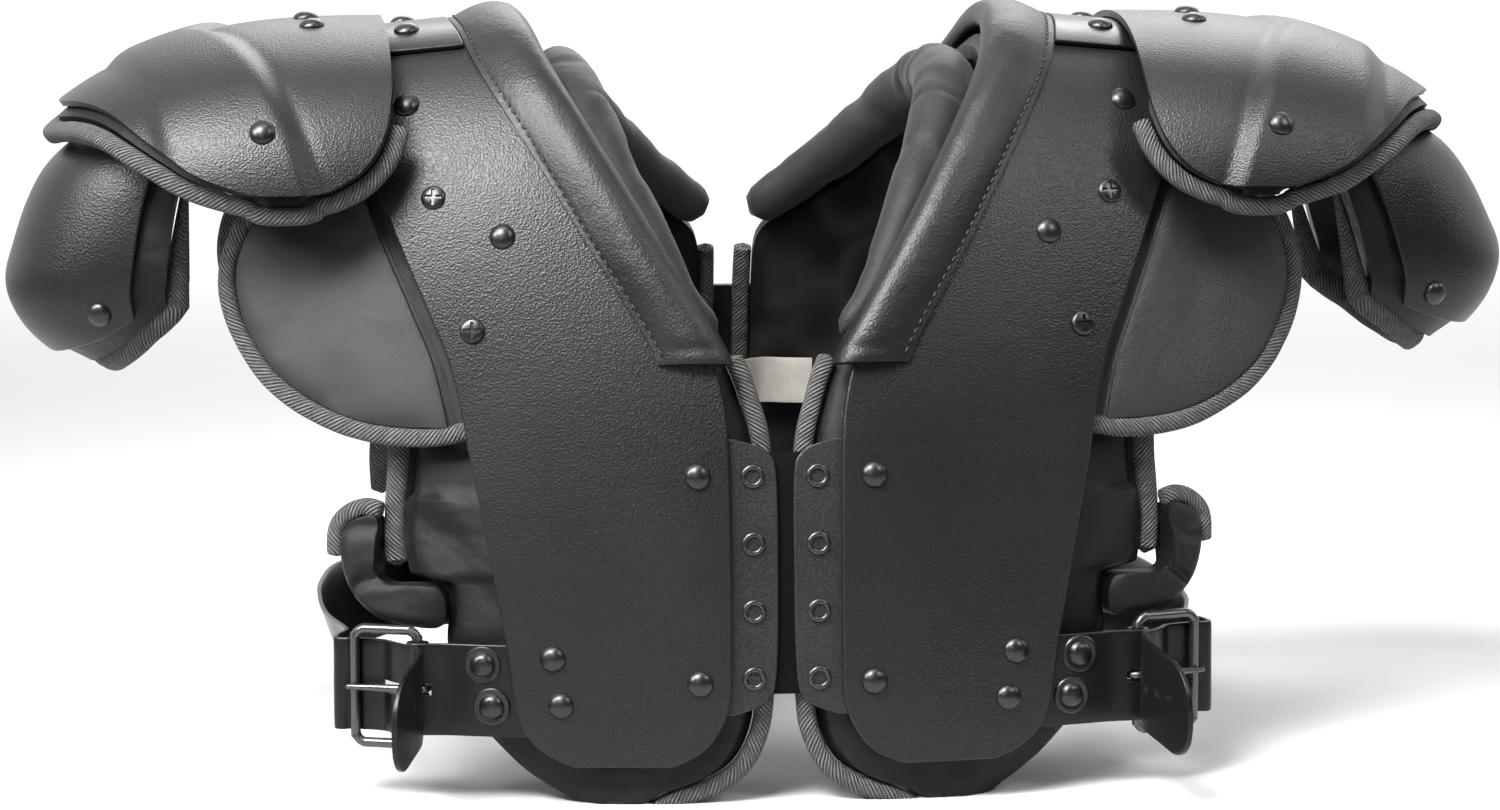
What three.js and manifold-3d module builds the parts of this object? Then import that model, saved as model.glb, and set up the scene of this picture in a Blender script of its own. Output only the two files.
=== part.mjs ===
// American football shoulder pads for an adult: two riveted plastic arch plates over a padded
// liner, with chest and back flaps, epaulets, arm caps and buckled side belts.
// Millimetres. +X is to the right in front view, +Y towards the back, +Z up, and z = 0 is the
// surface that the liner's lower edges stand on. Each side is built on the right and mirrored.
import * as THREE from "three";
import { mergeVertices } from "three/addons/utils/BufferGeometryUtils.js";
import Module from "manifold-3d";

const wasm = await Module();
wasm.setup();

// Torso form that the plates and the liner follow
const CHEST_DEPTH = 142; // from the shoulder line to the front or the back at the centre
const CHEST_HALF_WIDTH = 240;
const CHEST_ROUND = 0.8; // how fast the chest falls back towards the arms
const CREST_HEIGHT = 302; // top of the arch at the neck
const SHOULDER_SLOPE = 0.1;
const NECK_HALF_WIDTH = 100; // the shoulders start to slope here
const ARCH_SQUARENESS = 2.5;

// Walls and gaps
const PLATE_THICKNESS = 2.8;
const LACE_PLATE_THICKNESS = 2.5;
const TONGUE_THICKNESS = 1.6;
const LINER_THICKNESS = 16;
const BELT_THICKNESS = 2.2;
const STRAP_THICKNESS = 2;
const GAP = 0.7; // between layers whose facets differ
const CLOSE_GAP = 0.35; // between faces that share their facets

// Layers below the plates, counted along the surface normal from the plate's inner face
const LACE_TOP = -GAP;
const LACE_LOW = LACE_TOP - LACE_PLATE_THICKNESS;
const TONGUE_TOP = LACE_LOW - CLOSE_GAP;
const TONGUE_LOW = TONGUE_TOP - TONGUE_THICKNESS;
const LINER_TOP = TONGUE_LOW - GAP;
const LINER_LOW = LINER_TOP - LINER_THICKNESS;

// Small parts
const RIVET_RADIUS = 5;
const RIVET_HEIGHT = 3;
const WASHER_RADIUS = 7.5;
const WASHER_HEIGHT = 0.9;
const EYELET_RADIUS = 4.8;
const EYELET_HEIGHT = 1.3;
const EYELET_BORE = 2.5;
const BINDING_WIDTH = 7.6;
const BINDING_THICKNESS = 8;
const COLLAR_WIDTH = 22;
const COLLAR_HEIGHT = 6.5;
const COLLAR_FLANGE = 1.6;
const COLLAR_ROLL = 8;
const FLAP_THICKNESS = 11.5;
const FLAP_EDGE = 3.5;
const WING_THICKNESS = 15;
const WING_EDGE = 6;

// Epaulet, a saddle over the shoulder
const EPAULET_START = 0.625 * CHEST_HALF_WIDTH; // from the centre plane to its inner end
const EPAULET_REACH = 134;
const EPAULET_DROP = 33; // fall of its crest from the start to the outer end
const EPAULET_HALF_DEPTH = 108;
const EPAULET_RISE = 74.5; // from the line of its free edge's ends to its crest
const EPAULET_SQUARENESS = 2.3;
const EPAULET_PAD_THICKNESS = 11;
const RIDGE_HEIGHT = 3.2;
const RIDGE_SOFTNESS = 9;

// Arm cap, a shell round the upper arm
const ARM_CLEARANCE = 4.9; // from the epaulet's pad down to the top of the cap
const ARM_DROP = 110;
const ARM_STANDOFF = 22; // how far its inner face reaches out beyond the epaulet
const ARM_REACH = EPAULET_START + EPAULET_REACH + ARM_STANDOFF;
const ARM_BASE = 70; // from that point in to the line of its free edges
const ARM_HALF_DEPTH = 58;
const ARM_SQUARENESS = 2.2;
const ARM_PAD_THICKNESS = 12;
const ARM_SWING = { left: 0, right: 8 }; // degrees outwards, as the two caps hang
const HANGER_WIDTH = 36;
const HANGER_THICKNESS = 1.8;

// Side belts and buckles
const BELT_WIDTH = 37;
const BELT_ALONG = 0.0625; // the belt's middle on the arch, front; the back mirrors it
const BAR_POSITION = 0.6083 * CHEST_HALF_WIDTH; // heel bar of the buckle, from the centre plane
const BAR_LIFT = -3;
const WIRE_RADIUS = 2;
const PRONG_RADIUS = 1.6;
const FRAME_LENGTH = 26;
const FRAME_HALF_HEIGHT = BELT_WIDTH / 2 + 4.5;
const BELT_FREE_END = 56;

const LABEL_LENGTH = 44;
const LABEL_WIDTH = 20;
const LABEL_THICKNESS = 1;

const shade = (colour, roughness, metalness = 0) => ({ color: colour, roughness, metalness });
const FINISHES = {
  plate_plastic: shade(0x1b1b1c, 0.45),
  liner_fabric: shade(0x161617, 0.8),
  binding_tape: shade(0x5b5c5b, 0.85),
  collar_leather: shade(0x1a1919, 0.4),
  strap_coated: shade(0x101011, 0.25),
  buckle_metal: shade(0x2a2a2b, 0.3, 0.9),
  label_cloth: shade(0xcfc9c0, 0.8),
};

// Tables

// Tables give places across the body as shares of a span.
const chest = { start: 0, length: CHEST_HALF_WIDTH };
const shoulder = { start: EPAULET_START, length: EPAULET_REACH };
const across = ({ start, length }, table) =>
  table.map((entry) => {
    const placed = { ...entry };
    for (const key of ["row", "inner", "outer"])
      if (key in entry) placed[key] = start + entry[key] * length;
    return placed;
  });

// Value of one column of a table at a station, on a smooth curve through the rows.
function columnAt(table, column, station, key = "along") {
  const last = table.length - 1;
  if (station <= table[0][key]) return table[0][column];
  if (station >= table[last][key]) return table[last][column];
  const i = table.findIndex((row) => row[key] > station) - 1;
  const [a, b] = [table[i], table[i + 1]];
  const span = b[key] - a[key];
  const slope = (low, high) =>
    (table[high][column] - table[low][column]) / (table[high][key] - table[low][key]);
  const startSlope = slope(Math.max(i - 1, 0), i + 1);
  const endSlope = slope(i, Math.min(i + 2, last));
  const t = (station - a[key]) / span;
  return (
    a[column] * (1 + 2 * t) * (1 - t) ** 2 +
    span * startSlope * t * (1 - t) ** 2 +
    b[column] * t * t * (3 - 2 * t) +
    span * endSlope * t * t * (t - 1)
  );
}

// Stations that every piece on the arch shares, so that its facets lie on its neighbours' facets.
const FRONT_STATIONS = [
  0.022, 0.028, 0.039, 0.056, 0.084, 0.118, 0.124, 0.165, 0.19, 0.241, 0.268, 0.3, 0.335,
  0.37, 0.405, 0.435, 0.4675,
];
const STATIONS = [...FRONT_STATIONS, 0.5, ...FRONT_STATIONS.map((s) => 1 - s).reverse()];

// The shared stations within a table, with the table's own rows that lie beyond them.
function stationsOf(table) {
  const [low, high] = [table[0].along, table[table.length - 1].along];
  const between = STATIONS.filter((s) => s > low + 0.003 && s < high - 0.003);
  const own = table.map(({ along }) => along);
  const before = own.filter((s) => s < STATIONS[0]);
  const after = own.filter((s) => s > STATIONS[STATIONS.length - 1]);
  if (!before.length) before.push(low);
  if (!after.length) after.push(high);
  return [...before, ...between, ...after];
}

// A path that keeps a distance from an edge, measured along the chart's surface. Seen from
// outside with along upwards, it lies to the left of the edge's direction.
function pathBeside(chart, edge, distance) {
  const flat = edge.map(({ row, along }) => new THREE.Vector2(row, along * chart.total));
  const left = (from, to) => new THREE.Vector2(from.y - to.y, to.x - from.x).normalize();
  return flat.map((corner, i) => {
    const before = flat[i - 1] ? left(flat[i - 1], corner) : left(corner, flat[i + 1]);
    const after = flat[i + 1] ? left(corner, flat[i + 1]) : before;
    const mitre = before.clone().add(after).normalize();
    const { x, y } = corner.clone().addScaledVector(mitre, distance / mitre.dot(after));
    return { ...edge[i], row: x, along: y / chart.total };
  });
}
const edgeOf = (table, column, stations) =>
  stations.map((along) => ({ row: columnAt(table, column, along), along }));

const back = (table) => table.map((row) => ({ ...row, along: 1 - row.along })).reverse();

// Charts: curved surfaces that pieces are laid out on

// An arch swept along a row coordinate. along runs 0 to 1 over the arch by its length,
// and lift is the distance from the surface along its outward normal.
class ArchChart {
  constructor({ depth, crest, base, squareness, place, referenceRow }) {
    Object.assign(this, { depth, crest, base, squareness, place });
    const steps = 400;
    this.angles = [];
    this.lengths = [0];
    let before = null;
    for (let i = 0; i <= steps; i++) {
      const angle = (Math.PI * i) / steps;
      const here = this.section(referenceRow, angle);
      if (before) {
        const step = Math.hypot(here[0] - before[0], here[1] - before[1]);
        this.lengths.push(this.lengths[i - 1] + step);
      }
      this.angles.push(angle);
      before = here;
    }
    this.total = this.lengths[steps];
  }
  section(row, angle) {
    const power = 2 / this.squareness;
    const across = -this.depth(row) * Math.sign(Math.cos(angle)) * Math.abs(Math.cos(angle)) ** power;
    const low = this.base(row);
    return [across, low + (this.crest(row) - low) * Math.abs(Math.sin(angle)) ** power];
  }
  angleAt(along) {
    const target = along * this.total;
    let i = 1;
    while (this.lengths[i] < target && i < this.lengths.length - 1) i++;
    const share = (target - this.lengths[i - 1]) / (this.lengths[i] - this.lengths[i - 1]);
    return this.angles[i - 1] + share * (this.angles[i] - this.angles[i - 1]);
  }
  onSurface(row, along) {
    const inside = THREE.MathUtils.clamp(along, 0, 1);
    const [across, rise] = this.section(row, this.angleAt(inside));
    const below = (inside - along) * Math.sign(0.5 - along) * this.total;
    return this.place(row, across, rise - below);
  }
  normal(row, along) {
    const step = 0.004;
    const acrossRows = this.onSurface(row + 1, along).sub(this.onSurface(row - 1, along));
    const alongArch = this.onSurface(row, along + step).sub(this.onSurface(row, along - step));
    const facing = acrossRows.cross(alongArch).normalize();
    const outward = this.onSurface(row, along).sub(this.place(row, 0, this.base(row)));
    return facing.dot(outward) < 0 ? facing.negate() : facing;
  }
  point(row, along, lift = 0) {
    return this.onSurface(row, along).addScaledVector(this.normal(row, along), lift);
  }
}

const torso = new ArchChart({
  depth: (x) =>
    CHEST_DEPTH * Math.sqrt(Math.max(1 - CHEST_ROUND * (x / CHEST_HALF_WIDTH) ** 2, 0.05)),
  crest: (x) => CREST_HEIGHT - SHOULDER_SLOPE * Math.max(Math.abs(x) - NECK_HALF_WIDTH, 0),
  base: () => 0,
  squareness: ARCH_SQUARENESS,
  place: (x, y, z) => new THREE.Vector3(x, y, z),
  referenceRow: 0,
});

// The lift of the torso chart at which the epaulet's inner face clears the bridge strap
const BRIDGE_LIFT = PLATE_THICKNESS + CLOSE_GAP;
const EPAULET_CREST = torso.crest(EPAULET_START) + BRIDGE_LIFT + STRAP_THICKNESS + CLOSE_GAP;
const EPAULET_BASE = EPAULET_CREST - EPAULET_RISE;
const epauletShare = (x) => (x - EPAULET_START) / EPAULET_REACH;
const epaulet = new ArchChart({
  depth: (x) => EPAULET_HALF_DEPTH * Math.sqrt(Math.max(1 - (0.9 * epauletShare(x) - 0.2) ** 2, 0.1)),
  crest: (x) => EPAULET_CREST - EPAULET_DROP * Math.max(epauletShare(x), 0) ** 3,
  base: () => EPAULET_BASE,
  squareness: EPAULET_SQUARENESS,
  place: (x, y, z) => new THREE.Vector3(x, y, z),
  referenceRow: EPAULET_START,
});

// down: share of the drop from the top. inset: how far in from the reach, as a share of
// ARM_BASE. depth: share of ARM_HALF_DEPTH.
const ARM_SECTIONS = [
  { down: 0, inset: 0.6286, depth: 0.76 },
  { down: 0.1, inset: 0.4286, depth: 0.84 },
  { down: 0.21, inset: 0.2429, depth: 0.91 },
  { down: 0.34, inset: 0.1286, depth: 0.95 },
  { down: 0.5, inset: 0.0429, depth: 0.97 },
  { down: 0.61, inset: 0, depth: 0.95 },
  { down: 0.7, inset: 0.0286, depth: 0.91 },
  { down: 0.8, inset: 0.1286, depth: 0.84 },
  { down: 0.9, inset: 0.3143, depth: 0.7 },
  { down: 1, inset: 0.5714, depth: 0.55 },
];
const ARM_PIVOT = ARM_REACH - ARM_SECTIONS[0].inset * ARM_BASE;
const ARM_TOP = epaulet.crest(ARM_PIVOT) - GAP - EPAULET_PAD_THICKNESS - ARM_CLEARANCE;
const armShare = (z) => (ARM_TOP - z) / ARM_DROP;
const armColumn = (column, z) => columnAt(ARM_SECTIONS, column, armShare(z), "down");
const arm = new ArchChart({
  depth: (z) => ARM_HALF_DEPTH * armColumn("depth", z),
  crest: (z) => ARM_REACH - ARM_BASE * armColumn("inset", z),
  base: (z) => ARM_REACH - ARM_BASE * (1 + 0.35 * armColumn("inset", z)),
  squareness: ARM_SQUARENESS,
  place: (z, y, x) => new THREE.Vector3(x, y, z),
  referenceRow: ARM_TOP - ARM_DROP / 2,
});

// Solids

function geometryOf(points, triangles) {
  const geometry = new THREE.BufferGeometry();
  geometry.setAttribute(
    "position",
    new THREE.Float32BufferAttribute(points.flatMap((p) => [p.x, p.y, p.z]), 3),
  );
  geometry.setIndex(triangles.flat());
  return outwards(geometry);
}

// Turns the faces round if the closed surface encloses a negative volume.
function outwards(geometry) {
  const position = geometry.getAttribute("position");
  const index = Array.from(geometry.index.array);
  const corner = (i) => new THREE.Vector3().fromBufferAttribute(position, index[i]);
  let volume = 0;
  for (let i = 0; i < index.length; i += 3)
    volume += corner(i).dot(corner(i + 1).cross(corner(i + 2)));
  if (volume < 0)
    for (let i = 0; i < index.length; i += 3) {
      [index[i + 1], index[i + 2]] = [index[i + 2], index[i + 1]];
    }
  geometry.setIndex(index);
  geometry.computeVertexNormals();
  return geometry;
}

// Joins rings of equally many points into a closed solid. endFaces fill a ring as triples of
// its points, turned the ring's way; without them the last ring joins the first.
// A ring's second half takes the other diagonal, so that a shell's two faces fold alike.
function loft(rings, endFaces) {
  const count = rings[0].length;
  const triangles = [];
  const spans = endFaces ? rings.length - 1 : rings.length;
  for (let i = 0; i < spans; i++)
    for (let j = 0; j < count; j++) {
      const next = (i + 1) % rings.length;
      const k = (j + 1) % count;
      const [a, b, c, d] = [i * count + j, i * count + k, next * count + k, next * count + j];
      if (j < count / 2) triangles.push([a, b, c], [a, c, d]);
      else triangles.push([a, b, d], [b, c, d]);
    }
  const last = (rings.length - 1) * count;
  for (const [a, b, c] of endFaces ?? [])
    triangles.push([a, c, b], [last + a, last + b, last + c]);
  return geometryOf(rings.flat(), triangles);
}

// Faces that fill a flat outline.
function outlineFaces(outline) {
  const faces = THREE.ShapeUtils.triangulateShape(outline, []);
  return THREE.ShapeUtils.isClockWise(outline) ? faces.map(([a, b, c]) => [c, b, a]) : faces;
}

// Faces that fill a thin ring whose second half runs back below its first half.
function stripFaces(count) {
  const faces = [];
  for (let k = 0; k + 1 < count / 2; k++)
    faces.push([k, k + 1, count - 2 - k], [k, count - 2 - k, count - 1 - k]);
  return faces;
}

// A shell laid out on a chart: each row of the table runs from its inner to its outer edge,
// and faces gives the lift of the upper and lower face at a share of the width.
function chartShell(chart, rows, shares, faces) {
  const rings = rows.map(({ along, inner, outer }) => {
    const across = (v) => inner + v * (outer - inner);
    const [top, low] = [0, 1].map((face) =>
      shares.map((v) => chart.point(across(v), along, faces(v, across(v), along)[face])),
    );
    return [...top, ...low.reverse()];
  });
  return loft(rings, stripFaces(2 * shares.length));
}

// A stuffed pad with a closed outline on a chart. swell lists how far in each ring lies, as a
// share of the way to the middle, and the share of the full thickness there.
function chartPad(chart, outline, middle, swell, faces) {
  const at = (point, inwards) => ({
    row: point.row + inwards * (middle.row - point.row),
    along: point.along + inwards * (middle.along - point.along),
  });
  const ring = (face, { inwards, fullness }) =>
    outline.map((corner) => {
      const { row, along } = at(corner, inwards);
      return chart.point(row, along, faces(row, fullness)[face]);
    });
  const rings = [...swell].reverse().map((step) => ring(0, step));
  rings.push(...swell.map((step) => ring(1, step)));
  const count = outline.length;
  const points = rings.flat();
  const poles = [points.length, points.length + 1];
  points.push(
    chart.point(middle.row, middle.along, faces(middle.row, 1)[0]),
    chart.point(middle.row, middle.along, faces(middle.row, 1)[1]),
  );
  const triangles = [];
  for (let j = 0; j < count; j++) {
    const k = (j + 1) % count;
    triangles.push([poles[0], k, j]);
    for (let i = 0; i + 1 < rings.length; i++) {
      const [a, b] = [i * count + j, i * count + k];
      triangles.push([a, b, b + count], [a, b + count, a + count]);
    }
    const low = (rings.length - 1) * count;
    triangles.push([poles[1], low + j, low + k]);
  }
  return geometryOf(points, triangles);
}

const ellipse = (sides, width, height) =>
  Array.from({ length: sides }, (_, i) => {
    const angle = (2 * Math.PI * (i + 0.5)) / sides;
    return new THREE.Vector2((width / 2) * Math.cos(angle), (height / 2) * Math.sin(angle));
  });

// A section swept along stops. Each stop has a centre, an up direction that the section's
// second axis follows, and an optional scale.
function sweep(stops, section, closed = false) {
  const count = stops.length;
  const rings = stops.map((stop, i) => {
    const before = stops[closed ? (i + count - 1) % count : Math.max(i - 1, 0)];
    const after = stops[closed ? (i + 1) % count : Math.min(i + 1, count - 1)];
    const ahead = after.centre.clone().sub(before.centre).normalize();
    const side = ahead.clone().cross(stop.up).normalize();
    const up = side.clone().cross(ahead).normalize();
    const scale = stop.scale ?? 1;
    return section.map((p) =>
      stop.centre.clone().addScaledVector(side, p.x * scale).addScaledVector(up, p.y * scale),
    );
  });
  return loft(rings, closed ? undefined : outlineFaces(section));
}

// A tape or roll along stops given on a chart.
const chartSweep = (chart, stops, section) =>
  sweep(
    stops.map(({ row, along, lift, scale }) => ({
      centre: chart.point(row, along, lift),
      up: chart.normal(row, along),
      scale,
    })),
    section,
  );

// Booleans

function solidOf(geometry) {
  const bare = geometry.index ? geometry.clone() : geometry;
  bare.deleteAttribute("normal");
  bare.deleteAttribute("uv");
  const merged = mergeVertices(bare, 1e-4);
  return new wasm.Manifold(
    new wasm.Mesh({
      numProp: 3,
      vertProperties: new Float32Array(merged.attributes.position.array),
      triVerts: new Uint32Array(merged.index.array),
    }),
  );
}

function geometryFrom(solid) {
  const mesh = solid.getMesh();
  const geometry = new THREE.BufferGeometry();
  geometry.setAttribute("position", new THREE.Float32BufferAttribute(mesh.vertProperties, 3));
  geometry.setIndex(Array.from(mesh.triVerts));
  geometry.computeVertexNormals();
  return geometry;
}

const joined = (geometry, others) =>
  geometryFrom(others.reduce((sum, other) => sum.add(solidOf(other)), solidOf(geometry)));
const cut = (geometry, others) =>
  geometryFrom(others.reduce((rest, other) => rest.subtract(solidOf(other)), solidOf(geometry)));

// Takes away what lies below the floor, so that the piece stands on a flat face.
function standing(geometry) {
  const size = 4 * CHEST_HALF_WIDTH;
  return cut(geometry, [new THREE.BoxGeometry(size, size, size).translate(0, 0, -size / 2)]);
}

// A body of revolution about +Z, turned to stand on a chart.
function onChart(profile, sides, chart, row, along, lift) {
  const turned = new THREE.LatheGeometry(
    profile.map(([radius, height]) => new THREE.Vector2(radius, height)),
    sides,
  ).rotateX(Math.PI / 2);
  const toNormal = new THREE.Quaternion().setFromUnitVectors(
    new THREE.Vector3(0, 0, 1),
    chart.normal(row, along),
  );
  const { x, y, z } = chart.point(row, along, lift);
  return turned.applyQuaternion(toNormal).translate(x, y, z);
}

const RIVET_SINK = 1.8;
const RIVET_SIDES = 6;
const rivet = (chart, row, along, lift) =>
  onChart(
    [
      [0, -RIVET_SINK],
      [RIVET_RADIUS, -RIVET_SINK],
      [0.8 * RIVET_RADIUS, 0.7 * RIVET_HEIGHT],
      [0, RIVET_HEIGHT],
    ],
    RIVET_SIDES,
    chart,
    row,
    along,
    lift,
  );
const washer = (chart, row, along, lift) =>
  onChart(
    [
      [0, -RIVET_SINK],
      [WASHER_RADIUS, -RIVET_SINK],
      [WASHER_RADIUS, WASHER_HEIGHT],
      [0.6 * RIVET_RADIUS, WASHER_HEIGHT + 0.6 * RIVET_HEIGHT],
      [0, WASHER_HEIGHT + 0.8 * RIVET_HEIGHT],
    ],
    6,
    chart,
    row,
    along,
    lift,
  );

// Arch plate

// inner and outer: distances of the plate's edges from the centre plane.
const PLATE_FRONT = across(chest, [
  { along: 0.022, inner: 0.1917, outer: 0.35 },
  { along: 0.028, inner: 0.15, outer: 0.3917 },
  { along: 0.039, inner: 0.1167, outer: 0.4271 },
  { along: 0.056, inner: 0.0958, outer: 0.4458 },
  { along: 0.084, inner: 0.0917, outer: 0.4583 },
  { along: 0.125, inner: 0.0917, outer: 0.4792 },
  { along: 0.19, inner: 0.0938, outer: 0.5167 },
  { along: 0.215, inner: 0.1, outer: 0.5292 },
  { along: 0.241, inner: 0.1208, outer: 0.5479 },
  { along: 0.268, inner: 0.1667, outer: 0.5792 },
  { along: 0.3, inner: 0.225, outer: 0.6167 },
  { along: 0.335, inner: 0.2833, outer: 0.6542 },
  { along: 0.37, inner: 0.3375, outer: 0.6917 },
  { along: 0.405, inner: 0.3833, outer: 0.7333 },
  { along: 0.435, inner: 0.4083, outer: 0.7667 },
]);
const PLATE_BACK = [
  ...across(chest, [
    { along: 0.5, inner: 0.4292, outer: 0.8083 },
    { along: 0.565, inner: 0.4167, outer: 0.7667 },
    { along: 0.595, inner: 0.3958, outer: 0.7333 },
    { along: 0.63, inner: 0.35, outer: 0.6917 },
    { along: 0.665, inner: 0.2792, outer: 0.6542 },
    { along: 0.7, inner: 0.2, outer: 0.6167 },
    { along: 0.732, inner: 0.1333, outer: 0.5792 },
    { along: 0.759, inner: 0.1042, outer: 0.5479 },
  ]),
  ...back(PLATE_FRONT.filter(({ along }) => along < 0.2)),
];
const PLATE = [...PLATE_FRONT, ...PLATE_BACK];
const plateAt = (along) => ({
  along,
  inner: columnAt(PLATE, "inner", along),
  outer: columnAt(PLATE, "outer", along),
});
const PLATE_RIVETS = across(chest, [
  { row: 0.1458, along: 0.177 },
  { row: 0.1437, along: 0.067 },
  { row: 0.3833, along: 0.08 },
  { row: 0.3708, along: 0.055 },
  { row: 0.4542, along: 0.306 },
  { row: 0.5062, along: 0.2555 },
  { row: 0.5646, along: 0.3305 },
  { row: 0.6042, along: 0.391 },
]);

// The rivets over the shoulder lie on the front only.
const BACK_RIVETS = back(PLATE_RIVETS.filter(({ row }) => row < NECK_HALF_WIDTH));

function archPlate() {
  const rows = stationsOf(PLATE).map(plateAt);
  const plate = chartShell(torso, rows, [0, 0.33, 0.67, 1], () => [PLATE_THICKNESS, 0]);
  return joined(
    plate,
    [...PLATE_RIVETS, ...BACK_RIVETS].map(({ row, along }) =>
      rivet(torso, row, along, PLATE_THICKNESS),
    ),
  );
}

// Liner

const LINER_FRONT = across(chest, [
  { along: -0.006, inner: 0.25, outer: 0.3333 },
  { along: 0.004, inner: 0.2083, outer: 0.3833 },
  { along: 0.012, inner: 0.1375, outer: 0.425 },
  { along: 0.022, inner: 0.0896, outer: 0.4625 },
  { along: 0.039, inner: 0.0604, outer: 0.5125 },
  { along: 0.056, inner: 0.0521, outer: 0.55 },
  { along: 0.084, inner: 0.0521, outer: 0.5708 },
  { along: 0.118, inner: 0.0521, outer: 0.575 },
  { along: 0.124, inner: 0.0521, outer: 0.6333 },
  { along: 0.19, inner: 0.0521, outer: 0.6333 },
  { along: 0.215, inner: 0.0688, outer: 0.6333 },
  { along: 0.241, inner: 0.1, outer: 0.6375 },
]);
const LINER_SHOULDER = across(chest, [
  { along: 0.268, inner: 0.1771, outer: 0.6542 },
  { along: 0.3, inner: 0.2333, outer: 0.6708 },
  { along: 0.335, inner: 0.2896, outer: 0.6917 },
  { along: 0.37, inner: 0.3354, outer: 0.7125 },
  { along: 0.405, inner: 0.3625, outer: 0.7292 },
  { along: 0.435, inner: 0.3771, outer: 0.7417 },
  { along: 0.5, inner: 0.3896, outer: 0.75 },
  { along: 0.565, inner: 0.375, outer: 0.7417 },
  { along: 0.595, inner: 0.3479, outer: 0.7292 },
  { along: 0.63, inner: 0.3, outer: 0.7125 },
  { along: 0.665, inner: 0.2229, outer: 0.6917 },
  { along: 0.7, inner: 0.1083, outer: 0.6667 },
  { along: 0.715, inner: 0.0625, outer: 0.6542 },
  { along: 0.732, inner: 0.0521, outer: 0.6458 },
]);
const LINER = [
  ...LINER_FRONT,
  ...LINER_SHOULDER,
  ...back(LINER_FRONT.filter(({ along }) => along < 0.2)),
];

// The liner is full under the plate and thinner where the flaps lie on its outer part.
const LINER_SHARES = [0, 0.6, 1];
const FLAP_ROOM = FLAP_THICKNESS + GAP + LINER_TOP + 2;
function linerFaces(v, x, along) {
  const fromCrest = Math.abs(0.5 - along);
  const low = LINER_LOW - 1.5 * Math.sin(Math.PI * v);
  const drop = fromCrest < 0.335 ? FLAP_ROOM * THREE.MathUtils.smoothstep(fromCrest, 0.06, 0.14) : 0;
  return [v < 1 ? LINER_TOP : LINER_TOP - Math.max(drop, 4), low];
}

function linerPad() {
  const rows = stationsOf(LINER).map((along) => ({
    along,
    inner: columnAt(LINER, "inner", along),
    outer: columnAt(LINER, "outer", along),
  }));
  return standing(chartShell(torso, rows, LINER_SHARES, linerFaces));
}

// Rolled neck edge of the liner. scale: its radius as a share of the full one.
const NECK_ROLL_RADIUS = 13;
const NECK_ROLL = [
  { along: 0.25, scale: 0.4 },
  { along: 0.3, scale: 0.62 },
  { along: 0.335, scale: 0.8 },
  { along: 0.37, scale: 0.92 },
  { along: 0.435, scale: 1 },
  { along: 0.5, scale: 1 },
  { along: 0.565, scale: 1 },
  { along: 0.63, scale: 0.94 },
  { along: 0.665, scale: 0.84 },
  { along: 0.72, scale: 0.62 },
];
function neckRoll() {
  const stations = stationsOf(NECK_ROLL);
  const scales = stations.map((along) => columnAt(NECK_ROLL, "scale", along));
  const edge = edgeOf(LINER, "inner", stations);
  const stops = scales.map((scale, i) => {
    const radius = scale * NECK_ROLL_RADIUS;
    const beside = pathBeside(torso, edge, radius + GAP)[i];
    return { ...beside, scale, lift: LINER_TOP - radius - 4 * scale };
  });
  const clear = stops.filter(({ row }) => row > 0.7 * NECK_ROLL_RADIUS);
  return chartSweep(torso, clear, ellipse(8, 2 * NECK_ROLL_RADIUS, 2 * NECK_ROLL_RADIUS));
}

const BINDING_SECTION = ellipse(5, BINDING_WIDTH, BINDING_THICKNESS);
const BINDING_LIFT = LINER_TOP - BINDING_THICKNESS / 2 - 0.3;
const BINDING_OFFSET = BINDING_WIDTH / 2 + 0.3;
const CURVED_OFFSET = BINDING_OFFSET + 0.55; // round edges that curve two ways

const atLift = (table, lift) => table.map((stop) => ({ lift, ...stop }));

// Tape along the liner's inner edge, between two stations.
function centreBinding(start, end) {
  const between = stationsOf(LINER).filter((s) => s > start + 0.004 && s < end - 0.004);
  const edge = edgeOf(LINER, "inner", [start, ...between, end]);
  const path = pathBeside(torso, edge, BINDING_OFFSET);
  return standing(chartSweep(torso, atLift(path, BINDING_LIFT), BINDING_SECTION));
}

// Tape round the liner's outer edge, over the shoulder.
function armholeBinding() {
  const stations = [0.128, 0.165, 0.19, 0.215, 0.241, 0.268, 0.3, 0.335, 0.37, 0.405, 0.4675];
  const all = [...stations, ...stations.map((along) => 1 - along).reverse()];
  const path = pathBeside(torso, edgeOf(LINER, "outer", all), -CURVED_OFFSET);
  return chartSweep(torso, atLift(path, LINER_LOW + BINDING_THICKNESS / 2 - 1), BINDING_SECTION);
}

// Chest and back flaps

const CHEST_FLAP = across(chest, [
  { row: 0.5042, along: 0.209 },
  { row: 0.5917, along: 0.2045 },
  { row: 0.6917, along: 0.2085 },
  { row: 0.7708, along: 0.2195 },
  { row: 0.8292, along: 0.234 },
  { row: 0.8667, along: 0.251 },
  { row: 0.8917, along: 0.27 },
  { row: 0.9, along: 0.29 },
  { row: 0.8875, along: 0.31 },
  { row: 0.8542, along: 0.33 },
  { row: 0.7917, along: 0.346 },
  { row: 0.7083, along: 0.349 },
  { row: 0.6458, along: 0.338 },
  { row: 0.6125, along: 0.318 },
  { row: 0.5792, along: 0.29 },
  { row: 0.5417, along: 0.25 },
]);
const [FLAP_MIDDLE] = across(chest, [{ row: 0.725, along: 0.277 }]);
const FLAP_SWELL = [
  { inwards: 0, fullness: 0 },
  { inwards: 0.1, fullness: 0.75 },
  { inwards: 0.35, fullness: 1 },
];
const BACK_FLAP_STRETCH = 1.5; // the back flap reaches further down
const backFlapAlong = (along) =>
  1 - (along < FLAP_MIDDLE.along
    ? FLAP_MIDDLE.along - BACK_FLAP_STRETCH * (FLAP_MIDDLE.along - along)
    : along);
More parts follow.
